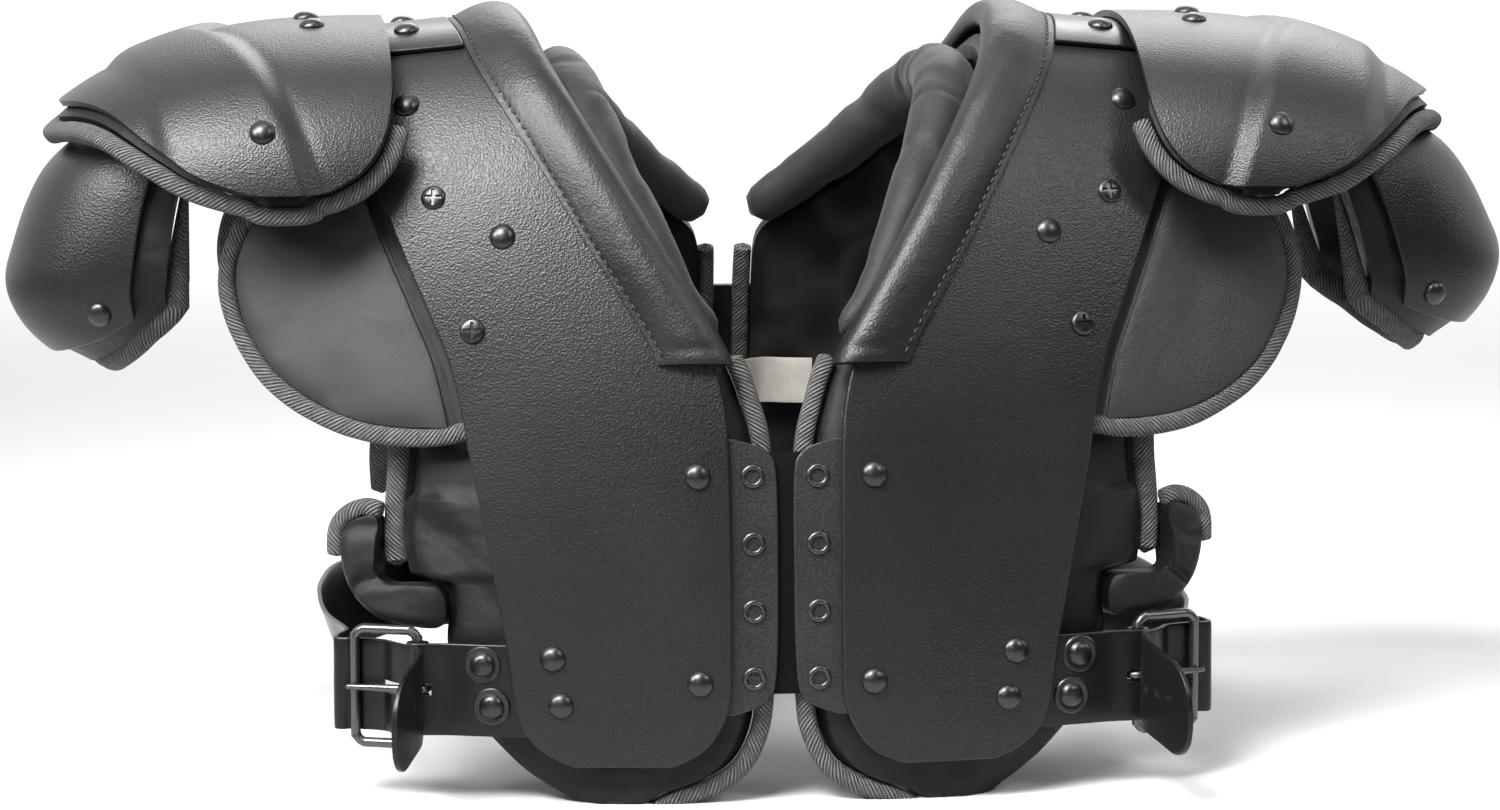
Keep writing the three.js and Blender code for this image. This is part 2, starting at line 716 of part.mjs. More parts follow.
const BACK_FLAP = CHEST_FLAP.map(({ row, along }) => ({ row, along: backFlapAlong(along) }));

// The flap's inner edge is thin, because it lies between the plate and the liner.
function flapFaces(row, fullness) {
  const clear = THREE.MathUtils.smoothstep(row / CHEST_HALF_WIDTH, 0.49, 0.635);
  const low = -GAP - FLAP_EDGE - (FLAP_THICKNESS - FLAP_EDGE) * fullness * clear;
  return [-GAP - 2 * (1 - fullness) * clear, low - 1.2 * clear * (1 - fullness)];
}
const flap = (outline, middle) => chartPad(torso, outline, middle, FLAP_SWELL, flapFaces);

// Tape round the flap's free edge; edge lists its corners.
const FLAP_BINDING_LIFT = -GAP - FLAP_EDGE / 2 - 2;
function flapBinding(edge, away) {
  const path = pathBeside(torso, edge, away * BINDING_OFFSET);
  const section = ellipse(5, BINDING_WIDTH, 0.8 * BINDING_THICKNESS);
  return chartSweep(torso, atLift(path, FLAP_BINDING_LIFT), section);
}

// Side wing of the liner, at the belt

const WING = across(chest, [
  { row: 0.58, along: 0.1165 },
  { row: 0.6775, along: 0.121 },
  { row: 0.68, along: 0.153 },
  { row: 0.7083, along: 0.155 },
  { row: 0.7375, along: 0.148 },
  { row: 0.7417, along: 0.132 },
  { row: 0.725, along: 0.114 },
  { row: 0.6917, along: 0.102 },
  { row: 0.65, along: 0.0965 },
  { row: 0.575, along: 0.0955 },
]);
const [WING_MIDDLE] = across(chest, [{ row: 0.6875, along: 0.117 }]);
const WING_SWELL = [
  { inwards: 0, fullness: 0 },
  { inwards: 0.16, fullness: 0.8 },
  { inwards: 0.5, fullness: 1 },
];
function wingFaces(row, fullness) {
  const middle = LINER_TOP - WING_THICKNESS / 2;
  const half = (WING_EDGE + (WING_THICKNESS - WING_EDGE) * fullness) / 2;
  return [middle + half, middle - half];
}
function wingBinding() {
  const path = pathBeside(torso, WING.slice(2, 6), BINDING_OFFSET - 0.3);
  const section = ellipse(5, BINDING_WIDTH, 0.9 * BINDING_THICKNESS);
  return chartSweep(torso, atLift(path, LINER_TOP - WING_THICKNESS / 2), section);
}

// Collar roll: a padded leather strip that hooks over the plate's neck edge

const COLLAR_ENDS = [0.236, 0.757];
function collar() {
  const over = PLATE_THICKNESS + CLOSE_GAP;
  const section = [
    [COLLAR_WIDTH, over],
    [COLLAR_WIDTH, over + COLLAR_FLANGE],
    [0.5 * COLLAR_WIDTH, over + 0.85 * COLLAR_HEIGHT],
    [0, over + COLLAR_HEIGHT],
    [-0.65 * COLLAR_ROLL, over + 0.45 * COLLAR_HEIGHT],
    [-COLLAR_ROLL, 0],
    [-0.65 * COLLAR_ROLL, LACE_LOW],
    [-GAP, LACE_LOW],
    [-GAP, over],
  ];
  const stations = STATIONS.filter((s) => s > COLLAR_ENDS[0] && s < COLLAR_ENDS[1]);
  const rings = [COLLAR_ENDS[0], ...stations, COLLAR_ENDS[1]].map((along) =>
    section.map(([out, lift]) => torso.point(plateAt(along).inner + out, along, lift)),
  );
  return loft(rings, outlineFaces(section.map(([x, y]) => new THREE.Vector2(x, y))));
}

// Bridge strap: the stiff strip over the shoulder that carries the epaulet

const BRIDGE_END = 0.7333 * CHEST_HALF_WIDTH;
const BRIDGE_ENDS = [0.435, 0.565];
const [BRIDGE_RIVET] = across(chest, [{ row: 0.5958, along: 0.465 }]);
function bridgeStrap() {
  const rows = STATIONS.filter((s) => s >= BRIDGE_ENDS[0] && s <= BRIDGE_ENDS[1]).map((along) => ({
    along,
    inner: plateAt(along).inner + COLLAR_WIDTH + 0.5,
    outer: BRIDGE_END,
  }));
  const top = BRIDGE_LIFT + STRAP_THICKNESS;
  const strap = chartShell(torso, rows, [0, 0.5, 1], () => [top, BRIDGE_LIFT]);
  const places = [BRIDGE_RIVET, ...back([BRIDGE_RIVET])];
  return joined(
    strap,
    places.map(({ row, along }) => rivet(torso, row, along, top)),
  );
}

// Front closure: two lace plates with eyelets and the tongue behind them

const LACE_PLATE = across(chest, [
  { along: 0.049, inner: 0.0875 },
  { along: 0.056, inner: 0.0375 },
  { along: 0.065, inner: 0.02 },
  { along: 0.084, inner: 0.015 },
  { along: 0.125, inner: 0.0133 },
  { along: 0.165, inner: 0.0133 },
  { along: 0.183, inner: 0.0167 },
  { along: 0.191, inner: 0.0333 },
  { along: 0.197, inner: 0.0875 },
]);
const LACE_PLATE_OUTER = 0.1917 * CHEST_HALF_WIDTH;
const EYELETS = [0.069, 0.105, 0.141, 0.177];
const EYELET_ROW = 0.0542 * CHEST_HALF_WIDTH;

function lacePlate() {
  const rows = LACE_PLATE.map((row) => ({ ...row, outer: LACE_PLATE_OUTER }));
  const plate = chartShell(torso, rows, [0, 0.5, 1], () => [LACE_TOP, LACE_LOW]);
  const tube = (radius, low, high) => [
    [0, low],
    [radius, low],
    [radius, high],
    [0, high],
  ];
  const rings = EYELETS.map((along) =>
    onChart(tube(EYELET_RADIUS, -1, EYELET_HEIGHT), 6, torso, EYELET_ROW, along, LACE_TOP),
  );
  const bores = EYELETS.map((along) =>
    onChart(tube(EYELET_BORE, -6, 6), 6, torso, EYELET_ROW, along, LACE_TOP),
  );
  return cut(joined(plate, rings), bores);
}

const TONGUE_HALF_WIDTH = 0.175 * CHEST_HALF_WIDTH;
const panel = (stations, halfWidth, top, low) =>
  chartShell(
    torso,
    stations.map((along) => ({ along, inner: -halfWidth, outer: halfWidth })),
    [0, 0.25, 0.5, 0.75, 1],
    () => [top, low],
  );
const frontTongue = () =>
  panel([0.06, 0.084, 0.125, 0.165, 0.19], TONGUE_HALF_WIDTH, TONGUE_TOP, TONGUE_LOW);
const BACK_BRIDGE_HALF_WIDTH = 0.1875 * CHEST_HALF_WIDTH;
const backBridge = () =>
  panel([0.759, 0.81, 0.835, 0.875, 0.916, 0.94], BACK_BRIDGE_HALF_WIDTH, LACE_TOP, LACE_LOW);

// Epaulet

const EPAULET_OUTLINE = across(shoulder, [
  { along: 0.0465, inner: 0.275, outer: 0.4 },
  { along: 0.055, inner: 0.194, outer: 0.4776 },
  { along: 0.075, inner: 0.1194, outer: 0.5821 },
  { along: 0.11, inner: 0.0597, outer: 0.6716 },
  { along: 0.16, inner: 0.0261, outer: 0.7612 },
  { along: 0.23, inner: 0.0149, outer: 0.8433 },
  { along: 0.31, inner: 0.0149, outer: 0.9179 },
  { along: 0.4, inner: 0.0187, outer: 0.9739 },
]);
const EPAULET_CREST_ROW = across(shoulder, [{ along: 0.5, inner: 0.0224, outer: 1 }]);
const EPAULET = [...EPAULET_OUTLINE, ...EPAULET_CREST_ROW, ...back(EPAULET_OUTLINE)];
const EPAULET_SHARES = [0, 0.25, 0.46, 0.62, 0.82, 1];
const EPAULET_RIVETS = across(shoulder, [
  { row: 0.2388, along: 0.41 },
  { row: 0.2537, along: 0.5 },
  { row: 0.3955, along: 0.13 },
  { row: 0.3955, along: 0.87 },
]);

// Two moulded ridges fan out from the crest and leave a raised panel between them.
function ridgeLift(x, along) {
  const towardsEdge = Math.abs(along - 0.5) / 0.45;
  const inner = EPAULET_START + EPAULET_REACH * (0.59 - 0.336 * towardsEdge);
  const outer = EPAULET_START + EPAULET_REACH * (0.836 - 0.179 * towardsEdge);
  const rise = (distance) => THREE.MathUtils.smoothstep(distance, -RIDGE_SOFTNESS, RIDGE_SOFTNESS);
  return RIDGE_HEIGHT * rise(x - inner) * rise(outer - x);
}

function epauletShell() {
  const shell = chartShell(epaulet, EPAULET, EPAULET_SHARES, (v, x, along) => [
    PLATE_THICKNESS + ridgeLift(x, along),
    ridgeLift(x, along),
  ]);
  const rivets = EPAULET_RIVETS.map(({ row, along }) =>
    rivet(epaulet, row, along, PLATE_THICKNESS + ridgeLift(row, along)),
  );
  return joined(shell, rivets);
}

// The pad stands out all round the shell's free edge, and leaves the crest free where the
// epaulet sits on the bridge strap.
const PAD_NOTCH_DEPTH = 46;
const PAD_OVERHANG = 3.5;
const EPAULET_PAD_END = across(shoulder, [{ along: 0.036, inner: 0.29, outer: 0.37 }]);
const EPAULET_PAD = [...EPAULET_PAD_END, ...EPAULET, ...back(EPAULET_PAD_END)];
const epauletPadRow = ({ along, inner, outer }) => {
  const nearCrest = THREE.MathUtils.smoothstep(0.5 - Math.abs(along - 0.5), 0.16, 0.42);
  return { along, inner: inner - 1 + PAD_NOTCH_DEPTH * nearCrest, outer: outer + PAD_OVERHANG };
};
function epauletPad() {
  return chartShell(epaulet, EPAULET_PAD.map(epauletPadRow), [0, 0.38, 0.7, 1], (v) => {
    const edge = v === 0 || v === 1 ? 2.5 : 0;
    return [-GAP, -GAP - EPAULET_PAD_THICKNESS + edge];
  });
}

// Tape round the pad's free edge, from the front inner corner over the outer end to the back.
function epauletBinding() {
  const rows = EPAULET_PAD.map(epauletPadRow);
  const inner = rows.slice(0, 6).map(({ along, inner }) => ({ row: inner, along }));
  const outer = rows.map(({ along, outer }) => ({ row: outer, along }));
  const edge = [...inner.reverse(), ...outer, ...back(inner)];
  const path = pathBeside(epaulet, edge, -CURVED_OFFSET);
  return chartSweep(epaulet, atLift(path, -GAP - EPAULET_PAD_THICKNESS / 2), BINDING_SECTION);
}

// Arm cap

// low and high: shares of the arm cap's drop between its lower and upper edge. The shell
// starts at its own station; the pad shares the shell's rows and runs on past its edges.
const ARM_ROWS = [
  { along: 0.035, low: 0.64, high: 0.15 },
  { along: 0.1, low: 0.72, high: 0.1 },
  { along: 0.17, low: 0.78, high: 0.05 },
  { along: 0.27, low: 0.83, high: 0.01 },
  { along: 0.385, low: 0.86, high: 0 },
];
const ARM_SHELL_START = 0.1;
const ARM_CREST = { along: 0.5, low: 0.86, high: 0 };
const ARM_SHARES = [0, 0.33, 0.67, 1];
const ARM_PAD_SHARES = [0.05, 0.33, 0.67, 1, 1.09];
const armRows = (start) => {
  const front = ARM_ROWS.filter(({ along }) => along >= start);
  return [...front, ARM_CREST, ...back(front)].map(({ along, low, high }) => ({
    along,
    inner: ARM_TOP - high * ARM_DROP,
    outer: ARM_TOP - low * ARM_DROP,
  }));
};
const ARM_RIVETS = [0.17, 0.83];
const armShell = () =>
  joined(
    chartShell(arm, armRows(ARM_SHELL_START), ARM_SHARES, () => [PLATE_THICKNESS, 0]),
    ARM_RIVETS.map((along) => rivet(arm, ARM_TOP - 0.7 * ARM_DROP, along, PLATE_THICKNESS)),
  );
const armPad = () =>
  chartShell(arm, armRows(0), ARM_PAD_SHARES, (v) => {
    const edge = v < 0.1 || v > 1 ? 3 : 0;
    return [-GAP - edge / 2, -GAP - ARM_PAD_THICKNESS + edge];
  });
function armBinding() {
  const reach = ARM_PAD_SHARES[ARM_PAD_SHARES.length - 1];
  const rows = armRows(0).map(({ along, inner, outer }) => ({
    along,
    row: inner + reach * (outer - inner),
  }));
  const [start] = armRows(0);
  const front = [{ row: start.inner - 10, along: start.along }];
  const path = pathBeside(arm, [...front, ...rows, ...back(front)], CURVED_OFFSET + 0.4);
  return chartSweep(arm, atLift(path, -GAP - ARM_PAD_THICKNESS / 2), BINDING_SECTION);
}

// How a side's arm cap is turned about its top.
const armTurn = (side) =>
  new THREE.Matrix4()
    .makeTranslation(ARM_PIVOT, 0, ARM_TOP)
    .multiply(new THREE.Matrix4().makeRotationY(-THREE.MathUtils.degToRad(ARM_SWING[side])))
    .multiply(new THREE.Matrix4().makeTranslation(-ARM_PIVOT, 0, -ARM_TOP));

// Plain strap that carries the arm cap from the underside of the epaulet's pad.
const HANGER_SAG = 7.4; // how far the flat strap stands off the rounded pads at its middle
function armHanger(side) {
  const along = new THREE.Vector3(0, 1, 0);
  const under = HANGER_THICKNESS / 2 + HANGER_SAG;
  const low = [0.36, 0.24, 0.12].map((down) =>
    arm
      .point(ARM_TOP - down * ARM_DROP, 0.5, -GAP - ARM_PAD_THICKNESS - under)
      .applyMatrix4(armTurn(side)),
  );
  const below = -GAP - EPAULET_PAD_THICKNESS - HANGER_THICKNESS / 2 - 1.1;
  const top = [
    epaulet.point(EPAULET_START + 0.687 * EPAULET_REACH, 0.5, below - 4),
    epaulet.point(EPAULET_START + 0.597 * EPAULET_REACH, 0.5, below),
  ];
  const flat = [
    [-HANGER_WIDTH / 2, -HANGER_THICKNESS / 2],
    [HANGER_WIDTH / 2, -HANGER_THICKNESS / 2],
    [HANGER_WIDTH / 2, HANGER_THICKNESS / 2],
    [-HANGER_WIDTH / 2, HANGER_THICKNESS / 2],
  ].map(([x, y]) => new THREE.Vector2(y, x));
  return sweep([...low, ...top].map((centre) => ({ centre, up: along })), flat);
}

// Side belt and buckle

const UP = new THREE.Vector3(0, 0, 1);
const heelBar = torso.point(BAR_POSITION, BELT_ALONG, BAR_LIFT);
const outward = torso.normal(BAR_POSITION, BELT_ALONG).setZ(0).normalize();
const rearward = outward.clone().cross(UP).negate().normalize();
const atBuckle = (back, out, up = 0) =>
  heelBar.clone().addScaledVector(rearward, back).addScaledVector(outward, out).addScaledVector(UP, up);
const tape = (width, thickness) =>
  [
    [-thickness / 2, -width / 2],
    [thickness / 2, -width / 2],
    [thickness / 2, width / 2],
    [-thickness / 2, width / 2],
  ].map(([x, y]) => new THREE.Vector2(x, y));
const SLOT_HALF = PRONG_RADIUS + 0.9;
const slot = (back, out, length, width) => {
  const box = new THREE.BoxGeometry(width, length, 2 * SLOT_HALF);
  const turn = new THREE.Matrix4().makeBasis(outward, rearward, UP);
  const { x, y, z } = atBuckle(back, out);
  return box.applyMatrix4(turn).translate(x, y, z);
};

const LOOP_RADIUS = WIRE_RADIUS + 0.5 + BELT_THICKNESS / 2;
const TAB_WASHERS = across(chest, [
  { row: 0.5, along: 0.076 },
  { row: 0.4854, along: 0.0535 },
]);
function beltTab() {
  const lift = LACE_TOP - BELT_THICKNESS / 2 - 0.2;
  const flat = [0.589, 0.671, 0.753, 0.836, 0.918].map((share) =>
    torso.point(share * BAR_POSITION, BELT_ALONG, lift).setZ(heelBar.z),
  );
  const turn = [-100, -55, -10, 35, 80, 120, 155].map((degrees) => {
    const angle = THREE.MathUtils.degToRad(degrees);
    return atBuckle(LOOP_RADIUS * Math.cos(angle), -LOOP_RADIUS * Math.sin(angle));
  });
  const stops = [...flat, ...turn].map((centre) => ({ centre, up: UP }));
  const strip = cut(sweep(stops, tape(BELT_WIDTH, BELT_THICKNESS)), [slot(1, 0, 15, 14)]);
  return joined(
    strip,
    TAB_WASHERS.map(({ row, along }) => washer(torso, row, along, LACE_TOP - 0.2)),
  );
}

function buckleFrame() {
  const [length, half, corner] = [FRAME_LENGTH, FRAME_HALF_HEIGHT, 3.5];
  const path = [
    [0, half - corner],
    [corner, half],
    [length - corner, half],
    [length, half - corner],
    [length, -half + corner],
    [length - corner, -half],
    [corner, -half],
    [0, -half + corner],
  ];
  const stops = path.map(([back, up]) => ({ centre: atBuckle(back, 0, up), up: outward }));
  return sweep(stops, ellipse(6, 2 * WIRE_RADIUS, 2 * WIRE_RADIUS), true);
}

function buckleProng() {
  const clear = WIRE_RADIUS + PRONG_RADIUS + 0.5;
  const path = [
    [1, -clear],
    [-0.75 * clear, -0.75 * clear],
    [-clear, 0.1 * clear],
    [-0.55 * clear, 0.85 * clear],
    [0.4 * clear, clear],
    [FRAME_LENGTH + 3, clear],
  ];
  const stops = path.map(([back, out]) => ({ centre: atBuckle(back, out), up: UP }));
  return sweep(stops, ellipse(6, 2 * PRONG_RADIUS, 2 * PRONG_RADIUS));
}

// The belt comes from the back plate round the side, goes under the frame's far bar, over
// the prong's root, and ends in a free tail that stands out to the front.
// x and y: shares of the chest's half width and depth. flare: how far its upper edge leans
// out, as a share of its width.
const BELT_SIDE = [
  { x: 0.6958, y: -0.5493, flare: 0.3 },
  { x: 0.7208, y: -0.2817, flare: 0.36 },
  { x: 0.7292, y: 0, flare: 0.36 },
  { x: 0.7208, y: 0.2817, flare: 0.36 },
  { x: 0.6875, y: 0.5775, flare: 0.3 },
];
const BELT_HOLES = 3;
function belt() {
  const half = BELT_THICKNESS / 2;
  const under = -(WIRE_RADIUS + half + 0.4);
  const over = LOOP_RADIUS + 2 * half + 0.4;
  const lift = LACE_TOP - half - 0.2;
  const tail = [
    [-7, BELT_FREE_END, -9],
    [-7, 0.62 * BELT_FREE_END, -4],
    [-6, 0.32 * BELT_FREE_END, -1],
    [-2, over + 2.5, 0],
    [4.5, over - 1, 0],
    [9, 0.35 * over, 0],
    [15, 0.75 * under, 0],
    [FRAME_LENGTH, under, 0],
    [FRAME_LENGTH + 9, under, 0],
  ];
  const stops = tail.map(([back, out, up], i) => ({
    centre: atBuckle(back, out, up),
    up: UP,
    flare: 0,
    width: i === 0 ? 0.45 : 1,
  }));
  for (const { x, y, flare } of BELT_SIDE) {
    const centre = new THREE.Vector3(x * CHEST_HALF_WIDTH, y * CHEST_DEPTH, heelBar.z);
    stops.push({ centre, flare, width: 1 });
  }
  for (const share of [0.959, 0.849, 0.767, 0.685, 0.603]) {
    const centre = torso.point(share * BAR_POSITION, 1 - BELT_ALONG, lift).setZ(heelBar.z);
    stops.push({ centre, flare: share > 0.9 ? 0.12 : 0, width: 1 });
  }
  const section = tape(BELT_WIDTH, BELT_THICKNESS);
  const rings = stops.map(({ centre, flare, width }, i) => {
    const before = stops[Math.max(i - 1, 0)].centre;
    const after = stops[Math.min(i + 1, stops.length - 1)].centre;
    const ahead = after.clone().sub(before).setZ(0).normalize();
    const side = ahead.clone().cross(UP);
    const away = side.dot(new THREE.Vector3(1, 0, 0)) < 0 ? -1 : 1;
    const up = UP.clone().addScaledVector(side, away * flare).normalize();
    return section.map((p) =>
      centre.clone().addScaledVector(side, p.x).addScaledVector(up, p.y * width),
    );
  });
  const strip = loft(rings, outlineFaces(section));
  const holes = [slot(7, 3, 15, 16)];
  for (let i = 1; i <= BELT_HOLES; i++) {
    const { x, y, z } = atBuckle(-6, 10 + (i * (BELT_FREE_END - 16)) / (BELT_HOLES + 1), -3);
    holes.push(new THREE.BoxGeometry(10, 4, 4).translate(x, y, z));
  }
  return standing(cut(strip, holes));
}

// Blank sewn-in label at the middle of the back
function careLabel() {
  const root = torso.point(0.0708 * CHEST_HALF_WIDTH, 0.81, LINER_LOW - 3.2);
  const path = [
    [0.5, -0.114],
    [0.25, -0.057],
    [0, 0],
    [-0.3, -0.3],
    [-0.5, -0.61],
  ];
  const stops = path.map(([x, y]) => ({
    centre: root.clone().add(new THREE.Vector3(x * LABEL_LENGTH, y * LABEL_LENGTH, 0)),
    up: UP,
  }));
  return sweep(stops, tape(LABEL_WIDTH, LABEL_THICKNESS));
}

// Assembly

const materials = Object.fromEntries(
  Object.entries(FINISHES).map(([name, finish]) => [
    name,
    new THREE.MeshStandardMaterial({ name, ...finish }),
  ]),
);
const shoulderPads = new THREE.Group();

function add(name, finish, geometry) {
  const mesh = new THREE.Mesh(geometry, materials[finish]);
  mesh.name = name;
  shoulderPads.add(mesh);
}

function mirrored(geometry) {
  const other = geometry.clone().applyMatrix4(new THREE.Matrix4().makeScale(-1, 1, 1));
  return outwards(other.index ? other : mergeVertices(other));
}

const BACK_MIDDLE = { row: FLAP_MIDDLE.row, along: 1 - FLAP_MIDDLE.along };

const SIDE_PIECES = {
  arch_plate: ["plate_plastic", archPlate],
  body_pad: ["liner_fabric", linerPad],
  neck_roll: ["liner_fabric", neckRoll],
  collar: ["collar_leather", collar],
  front_binding: ["binding_tape", () => centreBinding(-0.003, 0.24)],
  back_binding: ["binding_tape", () => centreBinding(0.728, 1.003)],
  armhole_binding: ["binding_tape", armholeBinding],
  chest_flap: ["liner_fabric", () => flap(CHEST_FLAP, FLAP_MIDDLE)],
  chest_flap_binding: ["binding_tape", () => flapBinding(CHEST_FLAP.slice(0, 11), -1)],
  back_flap: ["liner_fabric", () => flap(BACK_FLAP, BACK_MIDDLE)],
  back_flap_binding: ["binding_tape", () => flapBinding(BACK_FLAP.slice(1, 11), 1)],
  side_wing: ["liner_fabric", () => chartPad(torso, WING, WING_MIDDLE, WING_SWELL, wingFaces)],
  side_wing_binding: ["binding_tape", wingBinding],
  lace_plate: ["plate_plastic", lacePlate],
  bridge_strap: ["strap_coated", bridgeStrap],
  epaulet_shell: ["plate_plastic", epauletShell],
  epaulet_pad: ["liner_fabric", epauletPad],
  epaulet_binding: ["binding_tape", epauletBinding],
  arm_cap_shell: ["plate_plastic", (side) => armShell().applyMatrix4(armTurn(side))],
  arm_cap_pad: ["liner_fabric", (side) => armPad().applyMatrix4(armTurn(side))],
  arm_cap_binding: ["binding_tape", (side) => armBinding().applyMatrix4(armTurn(side))],
  arm_hanger: ["liner_fabric", armHanger],
  belt_tab: ["strap_coated", beltTab],
  buckle_frame: ["buckle_metal", buckleFrame],
  buckle_prong: ["buckle_metal", buckleProng],
  belt: ["strap_coated", belt],
};

for (const [name, [finish, build]] of Object.entries(SIDE_PIECES))
  for (const side of ["left", "right"]) {
    const geometry = build(side);
    add(`${name}_${side}`, finish, side === "left" ? mirrored(geometry) : geometry);
  }
add("front_tongue", "liner_fabric", frontTongue());
add("back_bridge", "plate_plastic", backBridge());
add("care_label", "label_cloth", careLabel());

// The origin is under the middle of the whole, on the surface it stands on.
const middle = new THREE.Box3().setFromObject(shoulderPads).getCenter(new THREE.Vector3());
for (const { geometry } of shoulderPads.children) geometry.translate(-middle.x, -middle.y, 0);

export default shoulderPads;
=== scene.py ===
# American football shoulder pads for an adult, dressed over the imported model: grained plastic
# arch plates, epaulets and arm caps, a padded liner edged with grey twill tape, leather collar
# rolls, coated side belts. Lengths in the sections below are millimetres in the pads' own frame.
import math

import bmesh
import bpy
import numpy as np
from mathutils import Matrix, Vector, noise


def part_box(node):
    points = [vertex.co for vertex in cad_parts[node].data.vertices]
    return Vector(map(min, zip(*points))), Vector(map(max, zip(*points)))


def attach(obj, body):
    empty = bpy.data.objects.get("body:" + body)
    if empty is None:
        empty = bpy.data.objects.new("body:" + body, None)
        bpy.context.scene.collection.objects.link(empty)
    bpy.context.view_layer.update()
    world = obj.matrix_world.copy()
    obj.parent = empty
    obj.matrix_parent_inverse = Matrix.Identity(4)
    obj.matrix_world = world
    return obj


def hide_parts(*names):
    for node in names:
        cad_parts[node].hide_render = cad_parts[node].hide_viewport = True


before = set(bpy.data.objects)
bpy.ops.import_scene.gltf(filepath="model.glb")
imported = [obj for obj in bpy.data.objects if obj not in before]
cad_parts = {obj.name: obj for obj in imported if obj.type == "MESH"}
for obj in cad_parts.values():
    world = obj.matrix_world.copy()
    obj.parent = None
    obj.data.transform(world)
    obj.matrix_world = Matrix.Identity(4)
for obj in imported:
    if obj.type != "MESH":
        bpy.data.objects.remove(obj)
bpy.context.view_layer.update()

# Camera and light.
# A long lens a little left of the front and a large soft box at the upper left, whose gleam
# runs down the left plate, with weak boxes low, at both sides, above and behind.
tongue_low, tongue_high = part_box("front_tongue")
plate_low, plate_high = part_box("arch_plate_right")
SHIFT = np.array([(tongue_low[0] + tongue_high[0]) / 2, (plate_low[1] + plate_high[1]) / 2, 0.0])
AIM = Vector(SHIFT) + Vector((0, 0, 0.141))
AZIMUTH = math.radians(-6)
ELEVATION = math.radians(8)
DISTANCE = 2.2

view_back = Vector((
    math.sin(AZIMUTH) * math.cos(ELEVATION),
    -math.cos(AZIMUTH) * math.cos(ELEVATION),
    math.sin(ELEVATION),
))
camera_data = bpy.data.cameras.new("camera")
camera_data.lens = 125.7
camera_data.sensor_width = 36
camera_data.clip_end = 30
camera = bpy.data.objects.new("camera", camera_data)
camera.location = AIM + view_back * DISTANCE
camera.rotation_euler = view_back.to_track_quat("Z", "Y").to_euler()
bpy.context.scene.collection.objects.link(camera)
bpy.context.scene.camera = camera


def area_light(name, azimuth, elevation, size, watts, spread=40):
    """A soft box two metres from the pads; azimuth 0 is in front of them and positive to the right."""
    azimuth, elevation = math.radians(azimuth), math.radians(elevation)
    aim = Vector((0, 0, 0.17))
    place = aim + 2 * Vector((math.sin(azimuth) * math.cos(elevation),
                              -math.cos(azimuth) * math.cos(elevation), math.sin(elevation)))
    data = bpy.data.lights.new(name, "AREA")
    data.spread = math.radians(spread)
    data.shape = "RECTANGLE"
    data.size, data.size_y = size
    data.energy = watts
    light = bpy.data.objects.new(name, data)
    light.location = place
    light.rotation_euler = (place - aim).to_track_quat("Z", "Y").to_euler()
    bpy.context.scene.collection.objects.link(light)


bpy.context.scene.view_settings.view_transform = "Standard"
area_light("key_light", -40, 52, (1.3, 1.2), 15)
area_light("low_light", -20, 20, (0.8, 0.7), 0.3)
area_light("left_light", -66, 32, (0.6, 0.8), 3)
area_light("far_right_light", 95, 30, (0.5, 0.9), 0.4)
area_light("right_light", 48, 42, (0.5, 0.9), 1.1)
area_light("top_light", 10, 80, (1.4, 0.7), 1.2)
area_light("back_light", 165, 35, (1.8, 0.7), 3, spread=60)

# The studio is white behind the pads and dim on the other side, so that black plastic stays black.
world = bpy.data.worlds.new("studio")
world.use_nodes = True
studio = world.node_tree
towards = studio.nodes.new("ShaderNodeSeparateXYZ")
studio.links.new(studio.nodes.new("ShaderNodeTexCoord").outputs["Generated"], towards.inputs[0])
fade = studio.nodes.new("ShaderNodeMapRange")
fade.interpolation_type = "SMOOTHSTEP"
for key, value in (("From Min", -0.3), ("From Max", 0.6), ("To Min", 0.04), ("To Max", 1.2)):
    fade.inputs[key].default_value = value
studio.links.new(towards.outputs["Y"], fade.inputs["Value"])
studio.links.new(fade.outputs[0], studio.nodes["Background"].inputs["Strength"])
studio.nodes["Background"].inputs["Color"].default_value = (1, 1, 1, 1)
bpy.context.scene.world = world


# Shaders and floor.
# Wire wraps a shader socket so that arithmetic on it adds Math nodes; Finish is a material
# whose other nodes come from its methods. The floor is pale and glows with painted light that grows into
# the distance.
class Wire:
    def __init__(self, tree, socket):
        self.tree, self.socket = tree, socket

    @staticmethod
    def feed(tree, inlet, value):
        if isinstance(value, Wire):
            tree.links.new(value.socket, inlet)
        else:
            inlet.default_value = value

    def math(self, operation, *values):
        node = self.tree.nodes.new("ShaderNodeMath")
        node.operation = operation
        for inlet, value in zip(node.inputs, values):
            Wire.feed(self.tree, inlet, value)
        return Wire(self.tree, node.outputs[0])

    def __add__(self, other):
        return self.math("ADD", self, other)

    def __radd__(self, other):
        return self.math("ADD", other, self)

    def __sub__(self, other):
        return self.math("SUBTRACT", self, other)

    def __rsub__(self, other):
        return self.math("SUBTRACT", other, self)

    def __mul__(self, other):
        return self.math("MULTIPLY", self, other)

    def __rmul__(self, other):
        return self.math("MULTIPLY", other, self)

    def __abs__(self):
        return self.math("ABSOLUTE", self)

    def sin(self):
        return self.math("SINE", self)

    def step(self, low, high):
        """Rises smoothly from 0 at low to 1 at high."""
        node = self.tree.nodes.new("ShaderNodeMapRange")
        node.interpolation_type = "SMOOTHSTEP"
        for key, value in (("Value", self), ("From Min", low), ("From Max", high)):
            Wire.feed(self.tree, node.inputs[key], value)
        return Wire(self.tree, node.outputs[0])


